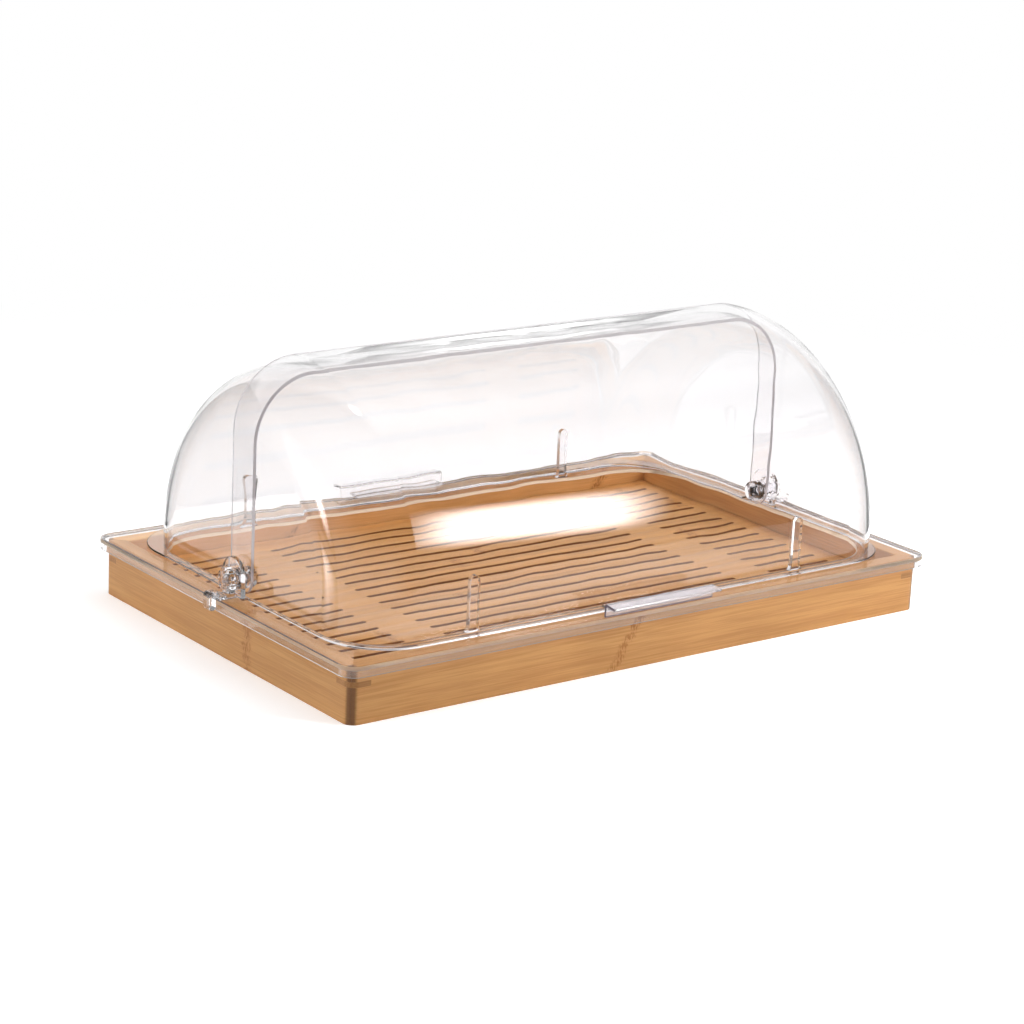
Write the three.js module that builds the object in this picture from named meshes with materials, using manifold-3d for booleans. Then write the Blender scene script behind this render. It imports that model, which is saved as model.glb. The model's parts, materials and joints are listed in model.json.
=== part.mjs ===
// Bamboo display tray with a double clear roll-top cover.
// Lengths are in millimetres. +Z is up, X runs along the long side and -Y faces the person served.
// The origin is the middle of the tray's underside.
import * as THREE from 'three';
import { mergeVertices } from 'three/addons/utils/BufferGeometryUtils.js';
import Module from 'manifold-3d';

const wasm = await Module();
wasm.setup();

// Driving dimensions of the bamboo tray
const tray = {
  length: 530,
  depth: 338,
  height: 41,
  wall: 13,
  cornerRadius: 8,
  edgeRadius: 1.5,
  panelThickness: 4,
  panelLift: 2.5,
  grooveDepth: 5,
};

// Loose splines that lock each mitred corner
const mitreKey = { leg: 17, thickness: 4, belowRim: 12 };

// Slotted crumb board and the ledges that carry it
const board = { belowRim: 16, thickness: 7, cornerRadius: 4 };
const ledge = { width: 9 };
const slot = {
  width: 3.8,
  pitch: 16.4,
  sideMargin: 15.6,
  endMargin: 16,
  sideLength: 63,
  columnGap: 34,
};

// Clear frame that drops over the tray's rim
const frame = {
  plate: 3,
  skirtWall: 3,
  skirtGap: 3,
  skirtDrop: 8.5,
  cornerRadius: 13,
  openingInset: 3.5,
  openingRadius: 46,
};
const post = { width: 8, thickness: 4, height: 41, endInset: 99, footSpread: 2.5, footHeight: 7 };

// Roll-top covers: the front one is the outer shell, the rear one nests inside it
const cover = {
  sideInset: 10.5,
  endInset: 15,
  endRadius: 50,
  wall: 2.5,
  radialGap: 6,
  endGap: 2,
  pivotHeight: 11.4,
  footSpread: 4.5,
  footEndSpread: 3,
  footThickness: 2.4,
  footHubGap: 18,
};
const grip = {
  length: 100,
  setback: 0.6,
  stand: 11,
  wall: 2,
  height: 10.2,
  lip: 10,
  lipDroop: 1,
  tuck: 2.7,
};

// Pivot at the middle of each end
const pivot = { pinRadius: 4 };
const bracket = {
  plate: 4,
  eyeRadius: 13,
  eyeRise: 4,
  armHalfWidth: 8.6,
  armThickness: 2.6,
  forkHalfWidth: 5.6,
  forkClearance: 0.9,
  hookHalfWidth: 4.5,
  hookWall: 5.6,
  hookRise: 2.4,
  hookDrop: 8.4,
};
const knob = { radius: 10, waist: 8.9, thickness: 7, flutes: 12, face: 1.4, boreDepth: 5 };
const fluteShares = [-0.3, 0.3];
const cap = { radius: 8, thickness: 6.5, boreDepth: 4.5, roundness: 2.5 };
const spacer = { radius: 8 };

// Clearances shared by all pieces
const rest = 0.3;
const glue = 0.1;
const running = 0.1;
const boardPlay = 1;
const postPlay = 1.6;
const overrun = 6;
const weldDistance = 0.00001;

// Facet counts
const barrelSteps = 96;
const filletSteps = 8;
const roundSteps = 6;
const edgeSteps = 3;
const slotSteps = 4;
const pinSteps = 20;

// Heights and radii that follow from the driving dimensions
const rimPlateTop = tray.height + rest + frame.plate;
const coverBase = rimPlateTop + rest;
const pivotZ = coverBase + cover.pivotHeight;
const boardTop = tray.height - board.belowRim;
const boardBase = boardTop - board.thickness;
const panelTop = tray.panelLift + tray.panelThickness;
const outerLengthHalf = tray.length / 2;
const outerDepthHalf = tray.depth / 2;
const innerLengthHalf = outerLengthHalf - tray.wall;
const innerDepthHalf = outerDepthHalf - tray.wall;
const frameLengthHalf = outerLengthHalf + frame.skirtGap + frame.skirtWall;
const frameDepthHalf = outerDepthHalf + frame.skirtGap + frame.skirtWall;
const coverRadius = outerDepthHalf - cover.sideInset;
const coverHalfLength = outerLengthHalf - cover.endInset;
const shells = {
  front: { side: -1, radius: coverRadius, halfLength: coverHalfLength, endRadius: cover.endRadius },
  rear: {
    side: 1,
    radius: coverRadius - cover.wall - cover.radialGap,
    halfLength: coverHalfLength - cover.wall - cover.endGap,
    endRadius: cover.endRadius - cover.endGap,
  },
};

const footHalfDepth = coverRadius + cover.footSpread;
const footHalfLength = coverHalfLength + cover.footEndSpread;
const gripReach = footHalfDepth + grip.stand;

// Stations along one pivot, measured out from the middle of the object
const station = {
  rearInside: shells.rear.halfLength - cover.wall,
  rearOutside: shells.rear.halfLength,
  frontInside: shells.front.halfLength - cover.wall,
  frontOutside: shells.front.halfLength,
};
station.bracketInside = station.frontOutside + cover.endGap;
station.bracketOutside = station.bracketInside + bracket.plate;
station.knobInside = station.bracketOutside + rest;
station.knobOutside = station.knobInside + knob.thickness;
station.pinOutside = station.knobInside + knob.boreDepth - rest;
station.capOutside = station.rearInside - rest;
station.pinInside = station.capOutside - cap.boreDepth + rest;

// Finishes
const bamboo = new THREE.MeshStandardMaterial({ color: 0xd2a56b, roughness: 0.55, metalness: 0 });
const darkBamboo = new THREE.MeshStandardMaterial({ color: 0xb98552, roughness: 0.6, metalness: 0 });
const clear = new THREE.MeshStandardMaterial({ color: 0xe6e8f0, roughness: 0.08, metalness: 0 });

// Axis maps: a section drawn in X and Y is laid in the YZ plane and runs along X,
// or is laid in the XZ plane and runs along Y
const alongX = new THREE.Matrix4().makeBasis(
  new THREE.Vector3(0, 1, 0), new THREE.Vector3(0, 0, 1), new THREE.Vector3(1, 0, 0));
const alongY = new THREE.Matrix4().makeBasis(
  new THREE.Vector3(1, 0, 0), new THREE.Vector3(0, 0, 1), new THREE.Vector3(0, -1, 0));
const latheToX = new THREE.Matrix4().makeBasis(
  new THREE.Vector3(0, 1, 0), new THREE.Vector3(1, 0, 0), new THREE.Vector3(0, 0, -1));

function toSolid(geometry) {
  const bare = geometry.clone();
  bare.deleteAttribute('normal');
  bare.deleteAttribute('uv');
  const merged = mergeVertices(bare, weldDistance);
  const mesh = new wasm.Mesh({
    numProp: 3,
    vertProperties: new Float32Array(merged.attributes.position.array),
    triVerts: new Uint32Array(merged.index.array),
  });
  return new wasm.Manifold(mesh);
}

function toGeometry(solid) {
  const mesh = solid.getMesh();
  const geometry = new THREE.BufferGeometry();
  geometry.setAttribute('position', new THREE.BufferAttribute(new Float32Array(mesh.vertProperties), 3));
  geometry.setIndex(new THREE.BufferAttribute(new Uint32Array(mesh.triVerts), 1));
  geometry.computeVertexNormals();
  return geometry;
}

// An outline extruded up from a height
function prism(shape, low, high, steps = roundSteps) {
  const geometry = new THREE.ExtrudeGeometry(shape, {
    depth: high - low, bevelEnabled: false, curveSegments: steps,
  });
  geometry.translate(0, 0, low);
  return geometry;
}

// A YZ section extruded along X
function beamX(shape, low, high, steps = roundSteps) {
  return prism(shape, low, high, steps).applyMatrix4(alongX);
}

// An XZ section extruded along Y
function beamY(shape, low, high, steps = roundSteps) {
  return prism(shape, -high, -low, steps).applyMatrix4(alongY);
}

function boxBetween(low, high) {
  const size = high.map((value, axis) => value - low[axis]);
  const middle = high.map((value, axis) => (value + low[axis]) / 2);
  return new THREE.BoxGeometry(...size).translate(...middle);
}

// Rounded rectangle about the origin, as a Shape or as a Path for a hole
function roundedRectangle(halfLength, halfDepth, radius, kind = THREE.Shape) {
  const outline = new kind();
  const x = halfLength - radius;
  const y = halfDepth - radius;
  outline.moveTo(-x, -halfDepth);
  outline.lineTo(x, -halfDepth);
  outline.absarc(x, -y, radius, -Math.PI / 2, 0);
  outline.lineTo(halfLength, y);
  outline.absarc(x, y, radius, 0, Math.PI / 2);
  outline.lineTo(-x, halfDepth);
  outline.absarc(-x, y, radius, Math.PI / 2, Math.PI);
  outline.lineTo(-halfLength, -y);
  outline.absarc(-x, -y, radius, Math.PI, Math.PI * 3 / 2);
  return outline;
}

function polygon(points) {
  return new THREE.Shape(points.map(([x, y]) => new THREE.Vector2(x, y)));
}

// Solid of revolution about the X axis from (radius, station) pairs, at the pivot height
function turned(profile, steps) {
  const points = profile.map(([radius, x]) => new THREE.Vector2(radius, x));
  return new THREE.LatheGeometry(points, steps).applyMatrix4(latheToX).translate(0, 0, pivotZ);
}

const pieces = new THREE.Group();

function addPiece(name, geometry, material, parent = pieces) {
  const mesh = new THREE.Mesh(geometry, material.clone());
  mesh.name = name;
  parent.add(mesh);
  return mesh;
}

// Outer solid of the four walls, used to trim the keys to the rounded corners
function trayOutline() {
  return roundedRectangle(outerLengthHalf, outerDepthHalf, tray.cornerRadius);
}

// Key plan: a triangle across one corner, given the signs of that corner
function keyPrism(signX, signY, spare) {
  const leg = mitreKey.leg + spare;
  const cornerX = signX * outerLengthHalf;
  const cornerY = signY * outerDepthHalf;
  const past = signX * signY > 0 ? [0, 1, 2] : [0, 2, 1];
  const corners = [
    [cornerX + signX * overrun, cornerY + signY * overrun],
    [cornerX - signX * (leg + overrun), cornerY + signY * overrun],
    [cornerX + signX * overrun, cornerY - signY * (leg + overrun)],
  ];
  const middle = tray.height - mitreKey.belowRim;
  const half = mitreKey.thickness / 2 + spare;
  return prism(polygon(past.map((index) => corners[index])), middle - half, middle + half);
}

// Section of one wall in its own plane: u runs out from the inner face, v runs up
function wallSection() {
  const outline = new THREE.Shape();
  const round = tray.edgeRadius;
  const grooveLow = tray.panelLift - glue;
  const grooveHigh = panelTop + glue;
  outline.moveTo(0, 0);
  outline.lineTo(tray.wall, 0);
  outline.lineTo(tray.wall, tray.height - round);
  outline.absarc(tray.wall - round, tray.height - round, round, 0, Math.PI / 2);
  outline.lineTo(round, tray.height);
  outline.absarc(round, tray.height - round, round, Math.PI / 2, Math.PI);
  outline.lineTo(0, grooveHigh);
  outline.lineTo(tray.grooveDepth, grooveHigh);
  outline.lineTo(tray.grooveDepth, grooveLow);
  outline.lineTo(0, grooveLow);
  return outline;
}

// One wall along X at +Y, cut to its mitres, its corner rounds and its key slots
function wallSolid(length, depth) {
  const halfLength = length / 2;
  const halfDepth = depth / 2;
  const inner = halfDepth - tray.wall;
  const beam = toSolid(beamX(wallSection(), -halfLength, halfLength, edgeSteps).translate(0, inner, 0));
  const mitre = polygon([
    [-(halfLength - tray.wall) - overrun, inner - overrun],
    [halfLength - tray.wall + overrun, inner - overrun],
    [halfLength - tray.wall - glue, inner],
    [halfLength + overrun - glue, halfDepth + overrun],
    [-halfLength - overrun + glue, halfDepth + overrun],
    [-(halfLength - tray.wall) + glue, inner],
  ]);
  const rounds = roundedRectangle(halfLength, halfDepth, tray.cornerRadius);
  return beam
    .intersect(toSolid(prism(mitre, -overrun, tray.height + overrun)))
    .intersect(toSolid(prism(rounds, -overrun, tray.height + overrun)));
}

function cutKeySlots(solid) {
  let result = solid;
  for (const signX of [-1, 1]) {
    for (const signY of [-1, 1]) {
      result = result.subtract(toSolid(keyPrism(signX, signY, glue)));
    }
  }
  return result;
}

function turnAboutZ(geometry, quarterTurns) {
  const turn = new THREE.Matrix4();
  const cosine = [1, 0, -1, 0][quarterTurns];
  const sine = [0, 1, 0, -1][quarterTurns];
  turn.set(cosine, -sine, 0, 0, sine, cosine, 0, 0, 0, 0, 1, 0, 0, 0, 0, 1);
  return geometry.applyMatrix4(turn);
}

function makeTray() {
  const long = toGeometry(wallSolid(tray.length, tray.depth));
  const short = toGeometry(wallSolid(tray.depth, tray.length));
  const walls = {
    tray_rear_wall: turnAboutZ(long.clone(), 0),
    tray_left_wall: turnAboutZ(short.clone(), 1),
    tray_front_wall: turnAboutZ(long.clone(), 2),
    tray_right_wall: turnAboutZ(short.clone(), 3),
  };
  for (const [name, geometry] of Object.entries(walls)) {
    addPiece(name, toGeometry(cutKeySlots(toSolid(geometry))), bamboo);
  }
  const trim = toSolid(prism(trayOutline(), -overrun, tray.height + overrun));
  for (const [endName, signX] of [['left', -1], ['right', 1]]) {
    for (const [sideName, signY] of [['front', -1], ['rear', 1]]) {
      const key = toSolid(keyPrism(signX, signY, 0)).intersect(trim);
      addPiece(`mitre_key_${sideName}_${endName}`, toGeometry(key), darkBamboo);
    }
  }
  const reach = tray.grooveDepth - rest;
  addPiece('tray_bottom_panel', boxBetween(
    [-innerLengthHalf - reach, -innerDepthHalf - reach, tray.panelLift],
    [innerLengthHalf + reach, innerDepthHalf + reach, panelTop]), bamboo);
}

// Glued strips that hold the crumb board above the panel
function makeLedges() {
  const low = panelTop + glue;
  const high = boardBase - glue;
  const x = innerLengthHalf - glue;
  const y = innerDepthHalf - glue;
  const sideEnd = y - ledge.width - glue;
  for (const [name, sign] of [['front', -1], ['rear', 1]]) {
    const faces = [sign * y, sign * (y - ledge.width)].sort((a, b) => a - b);
    addPiece(`board_ledge_${name}`, boxBetween([-x, faces[0], low], [x, faces[1], high]), bamboo);
  }
  for (const [name, sign] of [['left', -1], ['right', 1]]) {
    const faces = [sign * x, sign * (x - ledge.width)].sort((a, b) => a - b);
    addPiece(`board_ledge_${name}`, boxBetween([faces[0], -sideEnd, low], [faces[1], sideEnd, high]), bamboo);
  }
}

// A slot with round ends between two stations along X
function slotPath(from, to, y) {
  const radius = slot.width / 2;
  const path = new THREE.Path();
  path.moveTo(from + radius, y - radius);
  path.lineTo(to - radius, y - radius);
  path.absarc(to - radius, y, radius, -Math.PI / 2, Math.PI / 2);
  path.lineTo(from + radius, y + radius);
  path.absarc(from + radius, y, radius, Math.PI / 2, Math.PI * 3 / 2);
  return path;
}

// Crumb board: rows of slots in three columns
function makeBoard() {
  const halfLength = innerLengthHalf - boardPlay;
  const halfDepth = innerDepthHalf - boardPlay;
  const outline = roundedRectangle(halfLength, halfDepth, board.cornerRadius);
  const rows = Math.floor((halfDepth - slot.sideMargin) * 2 / slot.pitch) + 1;
  const sideEnd = halfLength - slot.endMargin;
  const middleEnd = sideEnd - slot.sideLength - slot.columnGap;
  const columns = [
    [-sideEnd, -sideEnd + slot.sideLength],
    [-middleEnd, middleEnd],
    [sideEnd - slot.sideLength, sideEnd],
  ];
  for (let row = 0; row < rows; row += 1) {
    const y = (row - (rows - 1) / 2) * slot.pitch;
    for (const [from, to] of columns) {
      outline.holes.push(slotPath(from, to, y));
    }
  }
  addPiece('slotted_board', prism(outline, boardBase, boardTop, slotSteps), bamboo);
}

// Opening in the frame's plate: it reaches out to the posts of both rows
function openingPath() {
  const x = coverHalfLength - frame.openingInset;
  const radius = frame.openingRadius;
  const inner = Object.values(shells).map((shell) => shell.side * (postFace(shell) - post.thickness - rest));
  const [front, rear] = inner.sort((low, high) => low - high);
  const middle = (front + rear) / 2;
  const path = roundedRectangle(x, (rear - front) / 2, radius, THREE.Path);
  return new THREE.Path(path.getPoints(filletSteps).map((point) => point.add(new THREE.Vector2(0, middle))));
}

// Frame plate with its opening and a skirt over the tray's rim
function makeFrame() {
  const low = tray.height + rest;
  const plate = roundedRectangle(frameLengthHalf, frameDepthHalf, frame.cornerRadius);
  plate.holes.push(openingPath());
  const skirt = roundedRectangle(frameLengthHalf, frameDepthHalf, frame.cornerRadius);
  const skirtInner = [
    frameLengthHalf - frame.skirtWall,
    frameDepthHalf - frame.skirtWall,
    frame.cornerRadius - frame.skirtWall,
  ];
  skirt.holes.push(roundedRectangle(...skirtInner, THREE.Path));
  const solid = toSolid(prism(plate, low, rimPlateTop))
    .add(toSolid(prism(skirt, rimPlateTop - frame.skirtDrop, rimPlateTop)));
  addPiece('cover_frame', toGeometry(solid), clear);
}

// Distance from the pivot plane at which a post's outer face clears the shell over it
function postFace(shell) {
  const free = shell.radius - cover.wall - postPlay;
  const topAbovePivot = rimPlateTop + rest + post.height - pivotZ;
  return Math.sqrt(free * free - topAbovePivot * topAbovePivot);
}

// Upright posts with round tops and spread feet, one row under each cover
function makePosts() {
  const low = rimPlateTop + rest;
  const radius = post.width / 2;
  const foot = radius + post.footSpread;
  const outline = new THREE.Shape();
  outline.moveTo(-foot, low);
  outline.lineTo(foot, low);
  outline.quadraticCurveTo(radius, low, radius, low + post.footHeight);
  outline.lineTo(radius, low + post.height - radius);
  outline.absarc(0, low + post.height - radius, radius, 0, Math.PI);
  outline.lineTo(-radius, low + post.footHeight);
  outline.quadraticCurveTo(-radius, low, -foot, low);
  for (const [sideName, shell] of Object.entries(shells)) {
    const face = postFace(shell);
    const faces = [shell.side * face, shell.side * (face - post.thickness)].sort((a, b) => a - b);
    for (const [endName, signX] of [['left', -1], ['right', 1]]) {
      const blade = beamY(outline, ...faces).translate(signX * (coverHalfLength - post.endInset), 0, 0);
      addPiece(`post_${sideName}_${endName}`, blade, clear);
    }
  }
}

// Closed barrel profile with rounded ends: (radius, station) pairs from end to end
function barrelProfile(radius, halfLength, endRadius) {
  const profile = [[0, -halfLength]];
  for (let step = 0; step <= filletSteps; step += 1) {
    const angle = step / filletSteps * Math.PI / 2;
    profile.push([
      radius - endRadius + endRadius * Math.sin(angle),
      -halfLength + endRadius - endRadius * Math.cos(angle),
    ]);
  }
  const mirrored = profile.map(([r, x]) => [r, -x]).reverse();
  return profile.concat(mirrored);
}

// Side view of the part of the barrel that one cover keeps: flat base, upright lap edge, round ear
function keepOutline(side) {
  const ear = cover.pivotHeight;
  const far = coverRadius + overrun;
  const outline = new THREE.Shape();
  outline.moveTo(side * far, coverBase);
  outline.lineTo(0, coverBase);
  if (side > 0) {
    outline.absarc(0, pivotZ, ear, -Math.PI / 2, -Math.PI, true);
  } else {
    outline.absarc(0, pivotZ, ear, -Math.PI / 2, 0, false);
  }
  outline.lineTo(-side * ear, pivotZ + far);
  outline.lineTo(side * far, pivotZ + far);
  return outline;
}

// Band along the cover's base, from inside the shell wall out to the footprint on the frame
function footOutline(shell) {
  const side = shell.side;
  const inset = cover.wall / 2;
  const band = (halfLength, halfDepth, radius, reverse) => {
    const x = halfLength - radius;
    const y = halfDepth - radius;
    const arc = [];
    for (const sign of [1, -1]) {
      for (let step = 0; step <= filletSteps; step += 1) {
        const angle = (sign > 0 ? step : filletSteps - step) / filletSteps * Math.PI / 2;
        arc.push([sign * (x + radius * Math.cos(angle)), side * (y + radius * Math.sin(angle))]);
      }
    }
    const path = [[halfLength, side * cover.footHubGap], ...arc, [-halfLength, side * cover.footHubGap]];
    return reverse ? path.reverse() : path;
  };
  const outer = band(footHalfLength, footHalfDepth, cover.endRadius, false);
  const inner = band(
    shell.halfLength - inset, shell.radius - inset, shell.endRadius - inset, true);
  return polygon(outer.concat(inner));
}

function makeCovers() {
  for (const [sideName, shell] of Object.entries(shells)) {
    const outer = turned(barrelProfile(shell.radius, shell.halfLength, shell.endRadius), barrelSteps);
    const inner = turned(barrelProfile(
      shell.radius - cover.wall, shell.halfLength - cover.wall, shell.endRadius - cover.wall), barrelSteps);
    const reach = shell.halfLength + overrun;
    const keep = beamX(keepOutline(shell.side), -reach, reach, filletSteps);
    const bore = turned([
      [0, -reach], [pivot.pinRadius + running, -reach], [pivot.pinRadius + running, reach], [0, reach],
    ], pinSteps);
    const foot = prism(footOutline(shell), coverBase, coverBase + cover.footThickness);
    const solid = toSolid(outer)
      .subtract(toSolid(inner))
      .intersect(toSolid(keep))
      .add(toSolid(foot))
      .subtract(toSolid(bore));
    addPiece(`${sideName}_cover`, toGeometry(solid), clear);
  }
}

// Finger grip: a foot on the cover's base band, an upright and a lip turned out at the top
function makeGrips() {
  const footInner = coverRadius + grip.setback;
  const footLow = coverBase + cover.footThickness + rest;
  const footHigh = footLow + grip.wall;
  const low = footLow - grip.tuck;
  const top = low + grip.height;
  const back = gripReach - grip.wall;
  const end = gripReach + grip.lip;
  const points = [
    [footInner, footLow], [back, footLow], [back, low], [gripReach, low],
    [gripReach, top - grip.wall], [end, top - grip.wall - grip.lipDroop],
    [end, top - grip.lipDroop], [gripReach, top], [back, top - grip.wall / 2], [back, footHigh],
    [footInner, footHigh],
  ];
  for (const [sideName, shell] of Object.entries(shells)) {
    const placed = points.map(([out, z]) => [shell.side * out, z]);
    const section = polygon(shell.side > 0 ? placed : placed.reverse());
    const geometry = beamX(section, -grip.length / 2, grip.length / 2);
    addPiece(`${sideName}_grip`, geometry, clear);
  }
}

// Upright eye of the bracket in the YZ plane
function bracketPlate() {
  const half = bracket.eyeRadius;
  const crown = pivotZ + bracket.eyeRise;
  const outline = new THREE.Shape();
  outline.moveTo(-half, coverBase);
  outline.lineTo(half, coverBase);
  outline.lineTo(half, crown);
  outline.absarc(0, crown, half, 0, Math.PI);
  return outline;
}

// Arm along the frame's top and the hook over its outer edge, in the XZ plane
function bracketArm() {
  const top = coverBase + bracket.armThickness;
  const outside = frameLengthHalf + rest;
  const tip = outside + bracket.hookWall;
  const crown = top + bracket.hookRise;
  const radius = bracket.hookWall / 2;
  const foot = coverBase - bracket.hookDrop + radius;
  const outline = new THREE.Shape();
  outline.moveTo(station.bracketInside, coverBase);
  outline.lineTo(outside, coverBase);
  outline.lineTo(outside, foot);
  outline.absarc(outside + radius, foot, radius, Math.PI, Math.PI * 2);
  outline.lineTo(tip, crown - radius);
  outline.absarc(tip - radius, crown - radius, radius, 0, Math.PI / 2);
  outline.lineTo(outside - bracket.hookRise, crown);
  outline.lineTo(outside - bracket.hookRise * 2, top);
  outline.lineTo(station.bracketInside, top);
  return outline;
}

// The arm is forked round the knob and narrows to the hook
function bracketSolid() {
  const reach = station.bracketOutside + overrun;
  const bore = turned([
    [0, station.bracketInside - overrun], [pivot.pinRadius + running, station.bracketInside - overrun],
    [pivot.pinRadius + running, reach], [0, reach],
  ], pinSteps);
  const plate = beamX(bracketPlate(), station.bracketInside, station.bracketOutside, filletSteps);
  const arm = beamY(bracketArm(), -bracket.armHalfWidth, bracket.armHalfWidth);
  const outside = frameLengthHalf + rest;
  const below = coverBase - bracket.hookDrop - overrun;
  const above = coverBase + bracket.armThickness + bracket.hookRise + overrun;
  const wide = bracket.armHalfWidth + overrun;
  const cuts = [
    [[outside, bracket.hookHalfWidth, below], [outside + bracket.hookWall + overrun, wide, above]],
    [[outside, -wide, below], [outside + bracket.hookWall + overrun, -bracket.hookHalfWidth, above]],
    [
      [station.bracketOutside, -bracket.forkHalfWidth, below],
      [station.knobOutside + bracket.forkClearance, bracket.forkHalfWidth, above],
    ],
  ];
  const trimmed = cuts.reduce(
    (solid, [low, high]) => solid.subtract(toSolid(boxBetween(low, high))), toSolid(arm));
  return trimmed.add(toSolid(plate)).subtract(toSolid(bore));
}

// Fluted knob face, drawn about the pivot in the YZ plane
function knobOutline() {
  const outline = new THREE.Shape();
  const steps = knob.flutes * 2;
  for (let step = 0; step < steps; step += 1) {
    const middle = step / steps * Math.PI * 2;
    const radius = step % 2 ? knob.waist : knob.radius;
    for (const share of fluteShares) {
      const angle = middle + share * Math.PI * 2 / steps;
      const point = [radius * Math.cos(angle), pivotZ + radius * Math.sin(angle)];
      if (step === 0 && share < 0) {
        outline.moveTo(...point);
      } else {
        outline.lineTo(...point);
      }
    }
  }
  return outline;
}

function knobSolid() {
  const inside = station.knobInside;
  const rim = inside + knob.thickness - knob.face;
  const grasp = beamX(knobOutline(), inside, rim);
  const face = turned([
    [0, rim - knob.face], [knob.waist - knob.face / 2, rim - knob.face],
    [knob.waist - knob.face, rim], [knob.waist - knob.face * 2, rim + knob.face], [0, rim + knob.face],
  ], pinSteps);
  const bore = turned([
    [0, inside - overrun], [pivot.pinRadius + running, inside - overrun],
    [pivot.pinRadius + running, inside + knob.boreDepth], [0, inside + knob.boreDepth],
  ], pinSteps);
  return toSolid(grasp).add(toSolid(face)).subtract(toSolid(bore));
}

// Round cap with a blind bore that keeps the pin from sliding out past the inner shell
function capProfile() {
  const outside = station.capOutside;
  const inside = outside - cap.thickness;
  const profile = [[0, inside]];
  for (let step = 0; step <= roundSteps; step += 1) {
    const angle = step / roundSteps * Math.PI / 2;
    profile.push([
      cap.radius - cap.roundness + cap.roundness * Math.sin(angle),
      inside + cap.roundness - cap.roundness * Math.cos(angle),
    ]);
  }
  const bore = pivot.pinRadius + running;
  const depth = outside - cap.boreDepth;
  return profile.concat([[cap.radius, outside], [bore, outside], [bore, depth], [0, depth]]);
}

function ringProfile(from, to) {
  const bore = pivot.pinRadius + running;
  return [[bore, from], [spacer.radius, from], [spacer.radius, to], [bore, to], [bore, from]];
}

function makePivots() {
  const gap = rest;
  const pin = turned([
    [0, station.pinInside], [pivot.pinRadius, station.pinInside],
    [pivot.pinRadius, station.pinOutside], [0, station.pinOutside],
  ], pinSteps);
  const parts = {
    clip_bracket: toGeometry(bracketSolid()),
    pivot_pin: pin,
    pivot_knob: toGeometry(knobSolid()),
    pivot_cap: turned(capProfile(), pinSteps),
    inner_spacer: turned(ringProfile(station.rearOutside + gap, station.frontInside - gap), pinSteps),
    outer_spacer: turned(ringProfile(station.frontOutside + gap, station.bracketInside - gap), pinSteps),
  };
  for (const [endName, turns] of [['right', 0], ['left', 2]]) {
    for (const [name, geometry] of Object.entries(parts)) {
      addPiece(`${endName}_${name}`, turnAboutZ(geometry.clone(), turns), clear);
    }
  }
}

makeTray();
makeLedges();
makeBoard();
makeFrame();
makePosts();
makeCovers();
makeGrips();
makePivots();

export default pieces;
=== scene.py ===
"""Bamboo display tray with a double clear roll-top cover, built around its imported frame.

Lengths of shapes are millimetres in the row frame: +Z up, X along the tray and -Y to the front.
link_piece turns them into metres. Lengths inside shaders are metres.
"""

import json
import logging
import math
from dataclasses import dataclass
from enum import Enum
from typing import Callable, Sequence

import bmesh
import bpy
from bpy.types import Material, Mesh, Node, NodeSocket, NodeTree, Object
from mathutils import Matrix, Vector

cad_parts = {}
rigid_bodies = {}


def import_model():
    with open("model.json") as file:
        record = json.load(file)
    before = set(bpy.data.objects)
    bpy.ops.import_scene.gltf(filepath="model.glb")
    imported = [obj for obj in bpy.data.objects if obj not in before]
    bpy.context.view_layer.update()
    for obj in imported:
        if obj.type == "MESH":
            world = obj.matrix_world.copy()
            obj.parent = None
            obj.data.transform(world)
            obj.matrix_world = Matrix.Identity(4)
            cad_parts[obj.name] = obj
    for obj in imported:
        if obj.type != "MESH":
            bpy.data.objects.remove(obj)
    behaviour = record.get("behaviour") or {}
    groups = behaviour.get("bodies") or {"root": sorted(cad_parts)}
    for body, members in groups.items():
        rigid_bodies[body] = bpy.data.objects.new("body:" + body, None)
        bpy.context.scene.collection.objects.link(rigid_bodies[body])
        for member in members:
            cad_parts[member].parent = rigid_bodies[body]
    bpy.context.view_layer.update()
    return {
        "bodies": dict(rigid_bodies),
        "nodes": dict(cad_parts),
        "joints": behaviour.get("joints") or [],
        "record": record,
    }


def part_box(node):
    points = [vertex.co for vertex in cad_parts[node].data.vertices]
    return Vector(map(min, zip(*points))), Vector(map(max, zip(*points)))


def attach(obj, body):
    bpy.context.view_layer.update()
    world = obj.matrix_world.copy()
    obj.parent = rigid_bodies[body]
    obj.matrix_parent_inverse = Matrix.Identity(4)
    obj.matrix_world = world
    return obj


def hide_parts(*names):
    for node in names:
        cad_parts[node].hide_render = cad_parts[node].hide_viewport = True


LOG = logging.getLogger("roll_top_tray")
METRES = 0.001
OVERLAP = 0.05
TINY = 1e-6
WHITE = (1.0, 1.0, 1.0, 1.0)
QUARTER = math.pi / 2
Pair = tuple[float, float]
Point = tuple[float, float, float]
Colour = tuple[float, float, float]
Solid = tuple[list[Point], list[list[int]]]


class Place(Enum):
    """A place on the object; the value is the sign of its coordinate."""

    @property
    def word(self) -> str:
        """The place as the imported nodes' names spell it."""
        return self.name.lower()


class Side(Place):
    """Which long side a piece belongs to; the value is the sign of Y there."""

    FRONT = -1
    REAR = 1


class End(Place):
    """Which short end a piece belongs to; the value is the sign of X there."""

    LEFT = -1
    RIGHT = 1


class GrainRun(Enum):
    """How a bamboo piece was cut: the axes that run along, across and through its strips."""

    BOARD = ("X", "Y", "Z")
    LONG_WALL = ("X", "Z", "Y")
    SHORT_WALL = ("Y", "Z", "X")
    SHORT_STRIP = ("Y", "X", "Z")


# Mesh making


def linked(name: str, data: bpy.types.ID) -> Object:
    """Links new data as one object.

    Args:
        name: of the object.
        data: its mesh, curve, light or camera.

    Returns:
        The object.
    """
    piece = bpy.data.objects.new(name, data)
    bpy.context.scene.collection.objects.link(piece)
    return piece


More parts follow.
